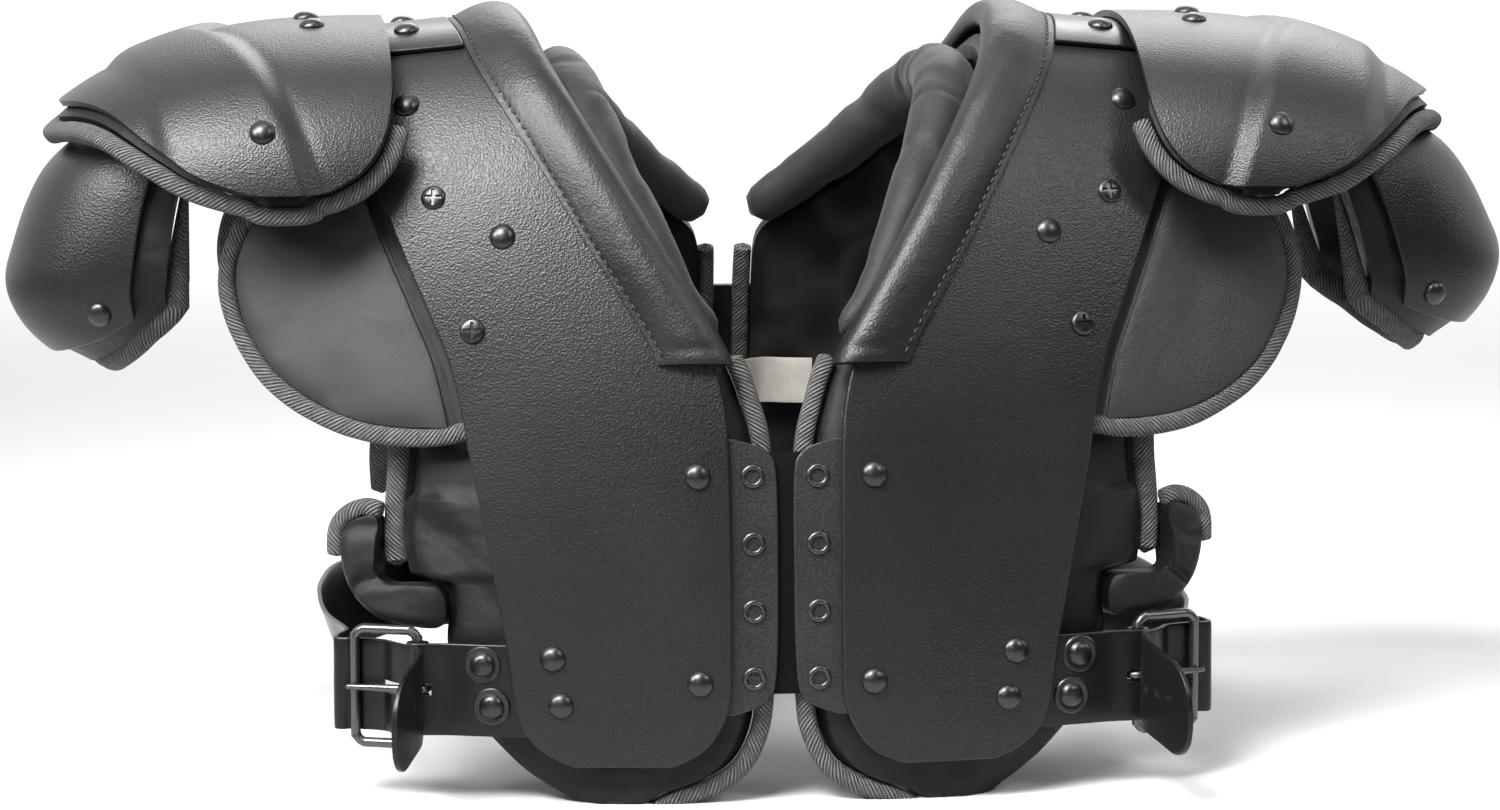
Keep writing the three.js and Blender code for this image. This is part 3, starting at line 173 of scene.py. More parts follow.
class Finish:
    def __init__(self, name, colour, roughness, **settings):
        self.material = bpy.data.materials.new(name)
        self.material.use_nodes = True
        self.tree = self.material.node_tree
        self.shader = self.tree.nodes["Principled BSDF"]
        self.set(**{"Base Color": (*colour, 1), "Roughness": roughness, **settings})

    def set(self, **inputs):
        for key, value in inputs.items():
            Wire.feed(self.tree, self.shader.inputs[key], value)

    def node(self, kind, outlet, **settings):
        node = self.tree.nodes.new("ShaderNode" + kind)
        for key, value in settings.items():
            if hasattr(node, key):
                setattr(node, key, value)
            else:
                Wire.feed(self.tree, node.inputs[key], value)
        return Wire(self.tree, node.outputs[outlet])

    def place(self, scale=(1, 1, 1)):
        where = self.node("TexCoord", "Object")
        return self.node("Mapping", 0, Vector=where, Scale=scale) if scale != (1, 1, 1) else where

    def chart(self):
        """The mesh's u and v in metres."""
        where = self.node("TexCoord", "UV")
        return self.node("SeparateXYZ", "X", Vector=where), self.node("SeparateXYZ", "Y", Vector=where)

    def speckle(self, scale, detail=2.0, **settings):
        return self.node("TexNoise", "Fac", Vector=self.place(), Scale=scale, Detail=detail, **settings)

    def colours(self, value, *stops):
        node = self.tree.nodes.new("ShaderNodeValToRGB")
        ramp = node.color_ramp
        for _ in stops[2:]:
            ramp.elements.new(0.5)
        for element, (position, colour) in zip(ramp.elements, stops):
            element.position = position
        for element, (position, colour) in zip(ramp.elements, stops):
            element.color = (*colour, 1)
        Wire.feed(self.tree, node.inputs["Fac"], value)
        self.set(**{"Base Color": Wire(self.tree, node.outputs[0])})

    def bumps(self, *layers):
        normal = None
        for height, distance, strength in layers:
            chained = {"Normal": normal} if normal else {}
            normal = self.node("Bump", 0, Height=height, Distance=distance, Strength=strength, **chained)
        self.set(Normal=normal)


# Painted glow: the floor emits light, none near the front and full strength 2.2 m back, so the far floor
# turns white.
floor_finish = Finish("pale_floor_painted_glow", (0.5, 0.5, 0.5), 0.8, **{"Emission Strength": 0.8})
floor_finish.set(Roughness=0.75 + 0.1 * floor_finish.speckle(6))
far = floor_finish.node("SeparateXYZ", "Y", Vector=floor_finish.place()).step(0.2, 2.2)
floor_finish.set(**{"Emission Color": far})
floor_mesh = bpy.data.meshes.new("floor")
floor_mesh.from_pydata([(-6, -4, 0), (6, -4, 0), (6, 8, 0), (-6, 8, 0)], [], [(0, 1, 2, 3)])
floor = bpy.data.objects.new("floor", floor_mesh)
floor.data.materials.append(floor_finish.material)
bpy.context.scene.collection.objects.link(floor)


# Body pads.
# The liner's two halves: foam in black nylon that runs from the front over the shoulder to the
# back under each plate, puffed between its sewn edges, with a patched lining on the inside.
SIDES = ("left", "right")


def running(steps):
    """The running total of steps, from 0."""
    return np.concatenate([[0], np.cumsum(steps)])


def unit(vectors):
    return vectors / np.linalg.norm(vectors, axis=-1, keepdims=True)


class Arch:
    """A surface arched over rows; along runs 0 to 1 over the arch by its length."""

    def __init__(self, depth, crest, base, squareness, place, reference):
        self.depth, self.crest, self.base, self.place = depth, crest, base, place
        self.power = 2 / squareness
        self.angles = np.linspace(0, math.pi, 401)
        across, rise = self.section(np.full(len(self.angles), float(reference)), self.angles)
        self.lengths = running(np.hypot(np.diff(across), np.diff(rise)))
        self.total = self.lengths[-1]

    def section(self, row, angle):
        cosine, sine = np.cos(angle), np.abs(np.sin(angle))
        across = -self.depth(row) * np.sign(cosine) * np.abs(cosine) ** self.power
        low = self.base(row)
        return across, low + (self.crest(row) - low) * sine ** self.power

    def surface(self, row, along):
        inside = np.clip(along, 0, 1)
        across, rise = self.section(row, np.interp(inside * self.total, self.lengths, self.angles))
        below = (inside - along) * np.sign(0.5 - along) * self.total
        return np.stack(self.place(row, across, rise - below), -1)

    def normal(self, row, along):
        step = 0.004
        over_rows = self.surface(row + 1, along) - self.surface(row - 1, along)
        over_arch = self.surface(row, along + step) - self.surface(row, along - step)
        facing = np.cross(over_rows, over_arch)
        facing /= np.linalg.norm(facing, axis=-1, keepdims=True) + 1e-12
        root = np.stack(self.place(row, np.zeros_like(row), self.base(row)), -1)
        outward = np.sum(facing * (self.surface(row, along) - root), -1, keepdims=True)
        return np.where(outward < 0, -facing, facing)

    def point(self, row, along, lift=0.0):
        row, along, lift = np.broadcast_arrays(
            np.asarray(row, float), np.asarray(along, float), np.asarray(lift, float))
        return self.surface(row, along) + self.normal(row, along) * lift[..., None]


def curve(table, column, station):
    """A column of a table at a station, on a smooth curve through its rows."""
    table = np.asarray(table, float)
    x, y = table[:, 0], table[:, column]
    s = np.clip(np.asarray(station, float), x[0], x[-1])
    i = np.clip(np.searchsorted(x, s, "right") - 1, 0, len(x) - 2)
    low = np.maximum(np.arange(len(x)) - 1, 0)
    high = np.minimum(np.arange(len(x)) + 1, len(x) - 1)
    slope = (y[high] - y[low]) / (x[high] - x[low])
    span = x[i + 1] - x[i]
    t = (s - x[i]) / span
    return (y[i] * (1 + 2 * t) * (1 - t) ** 2 + span * slope[i] * t * (1 - t) ** 2
            + y[i + 1] * t * t * (3 - 2 * t) + span * slope[i + 1] * t * t * (t - 1))


def smooth(value, low, high):
    t = np.clip((np.asarray(value, float) - low) / (high - low), 0, 1)
    return t * t * (3 - 2 * t)


def spans(*runs):
    """Stations in several runs, each given by its start, end and count."""
    return np.concatenate([np.linspace(*run) for run in runs])


def ripple(points, size, seed):
    """Smooth noise from -1 to 1 at points in millimetres."""
    flat = np.asarray(points).reshape(-1, 3) / size + seed * 17.3
    return np.array([noise.noise(p) for p in flat.tolist()]).reshape(np.shape(points)[:-1]) * 1.6


SMOOTH_ANGLE = 40


def finish_mesh(name, points, faces, charted=None):
    """A mesh from millimetre points; charted gives each point its UV in metres."""
    mesh = bpy.data.meshes.new(name)
    mesh.from_pydata((np.asarray(points).reshape(-1, 3) * 0.001 + SHIFT).tolist(), [], faces)
    if charted is not None:
        layer = mesh.uv_layers.new(name="UVMap")
        corners = np.empty(len(mesh.loops), int)
        mesh.loops.foreach_get("vertex_index", corners)
        layer.data.foreach_set("uv", (np.asarray(charted).reshape(-1, 2) * 0.001)[corners].ravel())
    shape = bmesh.new()
    shape.from_mesh(mesh)
    bmesh.ops.recalc_face_normals(shape, faces=shape.faces)
    shape.to_mesh(mesh)
    shape.free()
    mesh.shade_smooth()
    mesh.set_sharp_from_angle(angle=math.radians(SMOOTH_ANGLE))
    return mesh


def grid_faces(rows, columns, start=0, closed=False, flip=False):
    i, j = np.meshgrid(np.arange(rows - 1), np.arange(columns - (0 if closed else 1)), indexing="ij")
    k = (j + 1) % columns
    quads = np.stack([i * columns + j, i * columns + k, (i + 1) * columns + k, (i + 1) * columns + j], -1)
    quads = quads.reshape(-1, 4) + start
    return (quads[:, ::-1] if flip else quads).tolist()


def shell(name, chart, table, stations, shares, faces):
    """A closed shell between the table's inner and outer edge; faces gives its two lifts."""
    stations, shares = np.asarray(stations), np.asarray(shares)
    inner, outer = curve(table, 1, stations)[:, None], curve(table, 2, stations)[:, None]
    row = inner + shares * (outer - inner)
    along = np.broadcast_to(stations[:, None], row.shape)
    share = np.broadcast_to(shares, row.shape)
    top, low = faces(share, row, along)
    points = np.concatenate([chart.point(row, along, top).reshape(-1, 3),
                             chart.point(row, along, low).reshape(-1, 3)])
    charted = np.stack([row, along * chart.total], -1).reshape(-1, 2)
    n, m = row.shape
    rim = ([(0, j) for j in range(m)] + [(i, m - 1) for i in range(1, n)]
           + [(n - 1, j) for j in range(m - 2, -1, -1)] + [(i, 0) for i in range(n - 2, 0, -1)])
    ring = [i * m + j for i, j in rim]
    quads = grid_faces(n, m) + grid_faces(n, m, n * m, flip=True)
    quads += [(a, b, b + n * m, a + n * m) for a, b in zip(ring, ring[1:] + ring[:1])]
    return finish_mesh(name, points, quads, np.concatenate([charted, charted]))


def settle(obj):
    """Applies the object's modifiers to its mesh."""
    graph = bpy.context.evaluated_depsgraph_get()
    mesh = bpy.data.meshes.new_from_object(obj.evaluated_get(graph))
    mesh.name = obj.name
    obj.modifiers.clear()
    old, obj.data = obj.data, mesh
    bpy.data.meshes.remove(old)


def rounded(obj, width, angle=50):
    """Rounds the object's sharp edges, with the width in millimetres."""
    bevel = obj.modifiers.new("round", "BEVEL")
    bevel.width = width * 0.001
    bevel.segments = 3
    bevel.limit_method = "ANGLE"
    bevel.angle_limit = math.radians(angle)
    bevel.harden_normals = False
    bevel.use_clamp_overlap = True
    settle(obj)
    obj.data.shade_smooth()


def mirror(mesh):
    """Turns a right-hand mesh into its left-hand twin."""
    mesh.transform(Matrix.Translation(Vector(SHIFT)) @ Matrix.Diagonal((-1, 1, 1, 1))
                   @ Matrix.Translation(-Vector(SHIFT)))
    mesh.flip_normals()
    return mesh


def sided(mesh, side):
    return mirror(mesh) if side == "left" else mesh


def set_down(name, side, mesh, finishes, nodes=()):
    """Links a piece, gives it its finishes, states what it rides on and hides the parts it stands for.

    A piece of one side has the side's name added to its own and its nodes' names."""
    tail = "_" + side if side else ""
    nodes = [node + tail for node in nodes]
    obj = bpy.data.objects.new(name + tail, sided(mesh, side))
    bpy.context.scene.collection.objects.link(obj)
    for finish in finishes:
        obj.data.materials.append(finish.material)
    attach(obj, "root")
    if nodes:
        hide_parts(*nodes)
    return obj


HALF_DEPTH, REACH, CREST = 142, 240, 302
torso = Arch(
    depth=lambda x: HALF_DEPTH * np.sqrt(np.maximum(1 - 0.8 * (x / REACH) ** 2, 0.05)),
    crest=lambda x: CREST - 0.1 * np.maximum(np.abs(x) - 100, 0),
    base=lambda x: np.zeros_like(x),
    squareness=2.5,
    place=lambda x, y, z: (x, y, z),
    reference=0,
)


def with_back(front, middle=()):
    """A table's front half, its middle rows, and the front half mirrored to the back."""
    return [*front, *middle, *[(1 - s, *rest) for s, *rest in reversed(front)]]


SEAT_GAP = 0.7
FLAP_THICKNESS = 11.5
LINER_TOP, LINER_LOW = -5.85, -21.85
LINER_FOOT = [
    (-0.006, 60, 80), (0.004, 50, 92), (0.012, 33, 102), (0.022, 21.5, 111), (0.039, 14.5, 123),
    (0.056, 12.5, 132), (0.084, 12.5, 137), (0.118, 12.5, 138), (0.124, 12.5, 152),
    (0.19, 12.5, 152),
]
LINER = with_back(LINER_FOOT, [
    (0.215, 16.5, 152), (0.241, 24, 153), (0.268, 42.5, 157), (0.3, 56, 161), (0.335, 69.5, 166),
    (0.37, 80.5, 171), (0.405, 87, 175), (0.435, 90.5, 178), (0.5, 93.5, 180), (0.565, 90, 178),
    (0.595, 83.5, 175), (0.63, 72, 171), (0.665, 53.5, 166), (0.7, 26, 160), (0.715, 15, 157),
    (0.732, 12.5, 155),
])

nylon = Finish("black_nylon", (0.004, 0.004, 0.0042), 0.45, **{"Specular IOR Level": 0.2})
u, v = nylon.chart()
weave = (u * 7000).sin() * (v * 7000).sin()
nylon.set(Roughness=0.38 + 0.14 * nylon.speckle(90))
nylon.colours(nylon.speckle(35, 4), (0.3, (0.003, 0.003, 0.0032)), (0.75, (0.006, 0.006, 0.0063)))
nylon.bumps((weave, 0.00012, 0.5), (nylon.speckle(60, 3), 0.004, 0.5))

lining = Finish("patched_lining", (0.01, 0.009, 0.009), 0.75, **{"Specular IOR Level": 0.15})
patches = lining.node("TexVoronoi", "Distance", Vector=lining.place((1, 1, 0.6)), Scale=26, Randomness=0.9)
lining.colours(
    patches + 0.25 * lining.speckle(18, 1) - 0.1,
    (0.22, (0.001, 0.001, 0.001)), (0.30, (0.003, 0.0028, 0.0026)), (0.46, (0.012, 0.011, 0.0105)),
    (0.60, (0.001, 0.001, 0.001)))
lining.bumps((lining.speckle(900, 1), 0.0003, 0.4), (lining.speckle(40, 2), 0.003, 0.4))


def liner_faces(seed):
    """The liner's two lifts: it drops to make room for the flaps and thins towards its edges."""
    def faces(share, row, along):
        from_crest = np.abs(0.5 - along)
        room = FLAP_THICKNESS + SEAT_GAP + LINER_TOP + 2
        drop = np.where(from_crest < 0.335, room * smooth(from_crest, 0.06, 0.14), 0)
        outer = smooth(share, 0.6, 1) * np.maximum(drop, 4)
        rim = np.minimum(np.minimum(share, 1 - share) * 130, 60)
        puff = 1 - smooth(rim, 0, 9)
        at = torso.surface(row, along)
        dent = 0.9 * ripple(at, 26, seed) + 0.5 * ripple(at, 9, seed + 3)
        slant = (at[..., 2] - 0.7 * at[..., 0]) / 6.5 + 2.5 * ripple(at, 40, seed + 80)
        folds = 2.6 * smooth(row, 118, 134) * np.maximum(np.sin(slant), 0) ** 2 * (1 - puff)
        top = LINER_TOP - outer - 5 * puff ** 2 + np.minimum(dent, 0) * 0.8 - folds
        low = LINER_LOW - 1.5 * np.sin(np.pi * share) + 5 * puff ** 2 + dent
        return top, low
    return faces


foot_stations = np.linspace(-0.006, 0.06, 20)
notch_stations = np.linspace(0.114, 0.128, 15)
liner_stations = np.unique(np.concatenate([
    foot_stations, np.linspace(0.066, 0.934, 170), 1 - foot_stations, notch_stations, 1 - notch_stations]))
liner_shares = np.concatenate([
    [0, 0.01, 0.025, 0.045], np.linspace(0.08, 0.92, 22), [0.955, 0.975, 0.99, 1]])
for seed, side in enumerate(SIDES):
    mesh = shell("body_pad_look", torso, LINER, liner_stations, liner_shares, liner_faces(seed))
    for vertex in mesh.vertices:
        vertex.co.z = max(vertex.co.z, 0)
    pad = set_down("liner", side, mesh, [nylon, lining], ["body_pad"])
    count = (len(liner_stations) - 1) * (len(liner_shares) - 1)
    for face in pad.data.polygons[count:2 * count]:
        face.material_index = 1


# Arch plates.
# Polyethylene sheet 2.8 mm thick, pressed over a form: pebble grain, a rounded edge, and dome
# rivets and cross-slot screws through it.
PLATE_FOOT = [
    (0.022, 46, 84), (0.028, 36, 94), (0.039, 28, 102.5), (0.056, 23, 107), (0.084, 22, 110),
    (0.125, 22, 115), (0.19, 22.5, 124),
]
PLATE = with_back(PLATE_FOOT, [
    (0.215, 24, 127), (0.241, 29, 131.5), (0.268, 40, 139), (0.3, 54, 148), (0.335, 68, 157),
    (0.37, 81, 166), (0.405, 92, 176), (0.435, 98, 184), (0.5, 103, 194), (0.565, 100, 184),
    (0.595, 95, 176), (0.63, 84, 166), (0.665, 67, 157), (0.7, 48, 148), (0.732, 32, 139),
    (0.759, 25, 131.5),
])
PLATE_THICKNESS = 2.8


def grained_plastic(name, tone, roughness):
    """Black plastic with a fine pebble grain and faint scuffs."""
    plastic = Finish(name, (tone, tone, tone * 1.02), roughness, **{"Specular IOR Level": 0.35})
    grain = plastic.node("TexVoronoi", "Distance", Vector=plastic.place(), Scale=1150)
    scuffs = plastic.speckle(22, 5)
    plastic.set(Roughness=roughness - 0.05 + 0.14 * scuffs)
    plastic.colours(
        0.8 * grain + 0.2 * scuffs,
        (0.25, (tone * 0.2,) * 3), (0.62, (tone * 2.4, tone * 2.35, tone * 2.3)))
    plastic.bumps((grain, 0.00015, 1.0), (plastic.speckle(45, 2), 0.0006, 0.06))
    return plastic


plate_plastic = grained_plastic("grained_plastic", 0.003, 0.36)
rivet_black = Finish("black_enamel", (0.004, 0.004, 0.0042), 0.3)
rivet_black.set(Roughness=0.27 + 0.1 * rivet_black.speckle(300))
# Near-black painted shade, for the eyelet holes and the tongue in the lacing gap.
painted_shade_black = Finish("painted_shade_black", (0.001, 0.001, 0.001), 0.7, **{"Specular IOR Level": 0.1})
painted_shade_black.set(Roughness=0.65 + 0.1 * painted_shade_black.speckle(300))


def plate_faces(seed):
    """The plate's two lifts, which wave slowly together."""
    def faces(share, row, along):
        wave = 0.35 * ripple(torso.surface(row, along), 70, seed + 9)
        return PLATE_THICKNESS + wave, wave
    return faces


plate_stations = spans((0.022, 0.06, 14), (0.066, 0.934, 150), (0.94, 0.978, 14))
for seed, side in enumerate(SIDES):
    mesh = shell("arch_look", torso, PLATE, plate_stations, np.linspace(0, 1, 20), plate_faces(seed))
    plate = set_down("arch", side, mesh, [plate_plastic], ["arch_plate"])
    rounded(plate, 0.9)


def turned(profile, sides):
    """A body of revolution about +Z from (radius, height) pairs; the ends close on the axis."""
    angles = np.arange(sides) * 2 * math.pi / sides
    radius, height = np.array(profile, float).T
    ring = np.stack([radius[:, None] * np.cos(angles), radius[:, None] * np.sin(angles),
                     np.broadcast_to(height[:, None], (len(radius), sides))], -1)
    faces = grid_faces(len(radius), sides, closed=True)
    faces.append(tuple(range(sides)))
    faces.append(tuple((len(radius) - 1) * sides + i for i in range(sides)))
    return ring.reshape(-1, 3), faces


DOME = [
    (2.5, -1.2), (5.2, -0.2), (5.2, 0.35), (4.95, 0.85), (4.3, 1.6), (3.2, 2.3), (1.8, 2.75),
    (0.6, 2.92)]
SCREW = [(2.5, -1.2), (5.0, -0.2), (5.0, 0.5), (4.7, 1.2), (4.1, 1.6), (2.4, 2.0), (0.6, 2.1)]
WASHER = [
    (3, -1), (7.4, -0.3), (7.5, 0.5), (7.0, 0.95), (5.6, 1.0), (5.0, 0.8), (4.7, 1.2), (3.9, 2.2),
    (2.6, 2.8), (0.6, 3.0)]
STUD_SIDES = 28


def upright(chart, row, along):
    """The turn that stands +Z up along the chart's normal at a place."""
    normal = Vector(chart.normal(np.array(float(row)), np.array(float(along))))
    return normal.to_track_quat("Z", "Y").to_matrix()


def studs(name, side, chart, places, lift, profile, finish, turn=None):
    """Rivet heads in one mesh; each place is a row, a station and an optional lift."""
    shape, faces = turned(profile, STUD_SIDES)
    points, all_faces = [], []
    for row, along, *extra in places:
        centre = chart.point(row, along, lift + (extra[0] if extra else 0))
        all_faces += [tuple(i + len(points) * len(shape) for i in face) for face in faces]
        points.append(shape @ np.array(upright(chart, row, along)).T + centre)
    mesh = finish_mesh(name, np.concatenate(points), all_faces)
    if turn:
        mesh.transform(turn)
    return set_down(name, side, mesh, [finish])


SLOT_LENGTH, SLOT_WIDTH, SLOT_DEPTH = 7, 1.5, 1.4


def carved(obj, side, shape):
    """Cuts a bmesh body from a piece and frees it."""
    mesh = bpy.data.meshes.new("cutter")
    bmesh.ops.recalc_face_normals(shape, faces=shape.faces)
    shape.to_mesh(mesh)
    shape.free()
    cutter = bpy.data.objects.new("cutter", sided(mesh, side))
    bpy.context.scene.collection.objects.link(cutter)
    cut = obj.modifiers.new("cut", "BOOLEAN")
    cut.object = cutter
    cut.solver = "EXACT"
    bpy.context.view_layer.update()
    settle(obj)
    bpy.data.objects.remove(cutter)
    obj.data.set_sharp_from_angle(angle=math.radians(SMOOTH_ANGLE))


def slotted(obj, side, chart, places, lift):
    """Cuts a cross slot in each screw head, one arm of the cross at a time."""
    for length, width in ((SLOT_LENGTH, SLOT_WIDTH), (SLOT_WIDTH, SLOT_LENGTH)):
        shape = bmesh.new()
        for row, along in places:
            centre = Matrix.Translation(chart.point(row, along, lift) * 0.001 + SHIFT)
            spin = upright(chart, row, along).to_4x4()
            sizes = Matrix.Diagonal((length * 0.001, width * 0.001, 2 * SLOT_DEPTH * 0.001, 1))
            bmesh.ops.create_cube(shape, size=1, matrix=centre @ spin @ sizes)
        carved(obj, side, shape)


PLATE_DOMES = [(35, 0.177), (34.5, 0.067), (92, 0.08), (89, 0.055), (109, 0.306), (145, 0.391)]
PLATE_SCREWS = [(121.5, 0.2555), (135.5, 0.3305)]
BACK_DOMES = [(row, 1 - along) for row, along in PLATE_DOMES if row < 100]
for side in SIDES:
    studs("plate_rivets", side, torso, PLATE_DOMES + BACK_DOMES, PLATE_THICKNESS, DOME, rivet_black)
    screws = studs("plate_screws", side, torso, PLATE_SCREWS, PLATE_THICKNESS, SCREW, rivet_black)
    slotted(screws, side, torso, PLATE_SCREWS, PLATE_THICKNESS + 2.2)


# Neck rolls.
# Foam rolls in fine knit, sewn along the liner's neck edge and tapering to the front and the
# back; the knit is wrinkled where the roll bends over the shoulder.
def beside(chart, edge, distance):
    """A path of (row, along) that keeps a distance to the left of an edge."""
    flat = np.asarray(edge, float) * (1, chart.total)
    step = np.diff(flat, axis=0)
    left = np.stack([-step[:, 1], step[:, 0]], -1) / np.linalg.norm(step, axis=1, keepdims=True)
    before, after = np.vstack([left[:1], left]), np.vstack([left, left[-1:]])
    mitre = unit(before + after)
    offset = np.asarray(distance) / np.sum(mitre * after, 1)
    return (flat + mitre * offset[:, None]) / (1, chart.total)


def tube_mesh(name, rings, closed=False):
    """A mesh over rings of points; u runs along the rings and v round them."""
    rings = np.asarray(rings)
    n, m = rings.shape[:2]
    faces = grid_faces(n + closed, m, closed=True)
    faces = [tuple(i % (n * m) for i in face) for face in faces]
    if not closed:
        faces += [tuple(range(m)), tuple(range((n - 1) * m, n * m))]
    far = running(np.linalg.norm(np.diff(rings.mean(1), axis=0), axis=1))
    around = running(np.linalg.norm(np.diff(rings, axis=1), axis=2).mean(0))
    charted = np.stack(np.broadcast_arrays(far[:, None], around[None]), -1)
    return finish_mesh(name, rings, faces, charted)


def swept_rings(centres, ups, sections, closed=False):
    """Rings of a section of (side, up) pairs, or one section for each centre."""
    centres = np.asarray(centres)
    ahead = (np.roll(centres, -1, 0) - np.roll(centres, 1, 0)) if closed else np.gradient(centres, axis=0)
    side = unit(np.cross(ahead, ups))
    up = unit(np.cross(side, ahead))
    return centres[:, None] + side[:, None] * sections[..., :1] + up[:, None] * sections[..., 1:]


def oval(sides, width, height, power=2.0):
    angle = (np.arange(sides) + 0.5) * 2 * math.pi / sides
    cosine, sine = np.cos(angle), np.sin(angle)
    return np.stack([width / 2 * np.sign(cosine) * np.abs(cosine) ** (2 / power),
                     height / 2 * np.sign(sine) * np.abs(sine) ** (2 / power)], -1)


def rounded_ends(centres, reach):
    """Shares of the full section along centres, so that the ends close in a round."""
    far = running(np.linalg.norm(np.diff(centres, axis=0), axis=1))
    near = np.minimum(far, far[-1] - far) / reach
    return np.sqrt(np.clip(1 - (1 - np.clip(near, 0, 1)) ** 2, 0.02, 1))


NECK_ROLL = [
    (0.25, 0.4), (0.3, 0.62), (0.335, 0.8), (0.37, 0.92), (0.435, 1), (0.5, 1), (0.565, 1),
    (0.63, 0.94), (0.665, 0.84), (0.72, 0.62),
]
NECK_ROLL_RADIUS = 13

knit = Finish("ribbed_knit", (0.008, 0.0078, 0.0075), 0.6, **{
    "Sheen Weight": 0.06, "Specular IOR Level": 0.25})
u, v = knit.chart()
ribs = (u * 5200).sin()
knit.set(Roughness=0.55 + 0.12 * knit.speckle(120))
knit.colours(
    knit.speckle(60, 3) + 0.08 * ribs,
    (0.3, (0.005, 0.0049, 0.0048)), (0.75, (0.012, 0.0115, 0.011)))
knit.bumps((ribs, 0.00008, 0.4), (knit.speckle(70, 3), 0.002, 0.4))

stations = np.linspace(0.25, 0.72, 150)
scale = curve(NECK_ROLL, 1, stations)
neck_edge = np.stack([curve(LINER, 1, stations), stations], -1)
path = beside(torso, neck_edge, scale * NECK_ROLL_RADIUS + SEAT_GAP)
keep = path[:, 0] > 9.1
path, scale = path[keep], scale[keep]
lift = LINER_TOP - scale * NECK_ROLL_RADIUS - 4 * scale
for seed, side in enumerate(SIDES):
    centres = torso.point(path[:, 0], path[:, 1], lift)
    width = scale * rounded_ends(centres, 9) * 2 * NECK_ROLL_RADIUS
    sections = oval(28, 1, 1) * width[:, None, None]
    rings = swept_rings(centres, torso.normal(path[:, 0], path[:, 1]), sections)
    inwards = centres[:, None] - rings
    crease = np.maximum(ripple(rings, 15, seed + 20), 0) * 0.13
    bend = smooth(np.abs(path[:, 1] - 0.45), 0.2, 0.06)
    gathers = np.sin(np.arange(len(rings)) * 0.55 + 4 * ripple(centres, 25, seed))
    tuck = 0.12 * bend * np.maximum(gathers, 0) ** 3
    wrinkled = np.maximum(ripple(rings, 20, seed + 70), 0)
    rings = rings + inwards * (crease + tuck[:, None] * wrinkled)[..., None]
    set_down("neck_roll_knit", side, tube_mesh("roll", rings), [knit],
             ["neck_roll"])


# Edge tapes.
# Folded twill tape, grey with dark diagonal ribs, over the raw edges of the liner at the centre
# front, the centre back and round the arm.
TAPE_WIDTH, TAPE_THICKNESS = 7.6, 8
TAPE_OUT, TAPE_DOWN = 4.1, 4.3

twill = Finish("twill_tape", (0.08, 0.08, 0.078), 0.7, **{"Specular IOR Level": 0.3})
u, v = twill.chart()
ribs = ((u + 0.9 * v) * 3400).sin()
threads = (u * 6000).sin() * (v * 6000).sin()
twill.set(Roughness=0.74 + 0.1 * twill.speckle(150))
twill.colours(
    0.5 + 0.24 * ribs + 0.2 * threads + 0.35 * (twill.speckle(400, 3) - 0.5),
    (0.12, (0.006, 0.006, 0.006)), (0.45, (0.06, 0.06, 0.058)), (0.85, (0.15, 0.15, 0.146)))
twill.bumps((ribs, 0.0006, 0.8), (threads, 0.0002, 0.5))


def tape(name, side, chart, path, lift, nodes, seed, size=(TAPE_WIDTH, TAPE_THICKNESS), turn=None):
    """A folded tape along a path of (row, along); its face bulges softly and wanders a little."""
    path = np.asarray(path, float)
    centres = chart.point(path[:, 0], path[:, 1], lift)
    wander = 0.25 * ripple(centres, 22, seed + 4)
    centres = chart.point(path[:, 0], path[:, 1], lift + wander)
    ends = rounded_ends(centres, 1.6)
    section = oval(16, 1, 1, 2.6) * size
    sections = section * ends[:, None, None] * (1 + 0.03 * ripple(centres, 12, seed))[:, None, None]
    rings = swept_rings(centres, chart.normal(path[:, 0], path[:, 1]), sections)
    rings[..., 2] = np.maximum(rings[..., 2], 0) if chart is torso else rings[..., 2]
    mesh = tube_mesh(name, rings)
    if turn is not None:
        mesh.transform(turn)
    set_down(name, side, mesh, [twill], nodes)


def edge_of(table, column, stations):
    return np.stack([curve(table, column, stations), stations], -1)


for seed, side in enumerate(SIDES):
    front = beside(torso, edge_of(LINER, 1, np.linspace(-0.003, 0.24, 110)), TAPE_OUT)
    tape("front_tape", side, torso, front, LINER_TOP - TAPE_DOWN, ["front_binding"], seed=seed)
    rear = beside(torso, edge_of(LINER, 1, np.linspace(0.728, 1.003, 110)), TAPE_OUT)
    tape("back_tape", side, torso, rear, LINER_TOP - TAPE_DOWN, ["back_binding"], seed=seed + 2)
    round_arm = beside(torso, edge_of(LINER, 2, np.linspace(0.128, 0.872, 210)), -5.2)
    tape("armhole_tape", side, torso, round_arm, LINER_LOW + 3, ["armhole_binding"],
         size=(9.2, 8), seed=seed + 4)


# Chest and back flaps.
# Foam cushions in smooth brown-grey knit that stick out from under the plate's outer edge, with
# a strip of dotted mesh next to the plate and twill tape round the free edge.
def smooth_path(points, count, closed=False):
    """Evenly spaced points on a smooth curve through the given ones."""
    points = np.asarray(points, float)
    if closed:
        padded_points = np.vstack([points[-1:], points, points[:2]])
    else:
        padded_points = np.vstack([2 * points[0] - points[1], points, 2 * points[-1] - points[-2]])
    t = np.linspace(0, 1, 24, endpoint=False)[:, None]
    spans = []
    for a, b, c, d in zip(padded_points, padded_points[1:], padded_points[2:], padded_points[3:]):
        spans.append(0.5 * (2 * b + (c - a) * t + (2 * a - 5 * b + 4 * c - d) * t ** 2
                            + (3 * b - a - 3 * c + d) * t ** 3))
    dense = np.vstack([*spans, points[:1] if closed else points[-1:]])
    far = running(np.linalg.norm(np.diff(dense, axis=0), axis=1))
    at = np.linspace(0, far[-1], count, endpoint=not closed)
    return np.stack([np.interp(at, far, dense[:, i]) for i in range(points.shape[1])], -1)


def smooth_edge(chart, places, count, closed=False):
    """A smooth path through (row, along) places, evenly spaced by its length on the chart."""
    return smooth_path(np.asarray(places) * (1, chart.total), count, closed) / (1, chart.total)


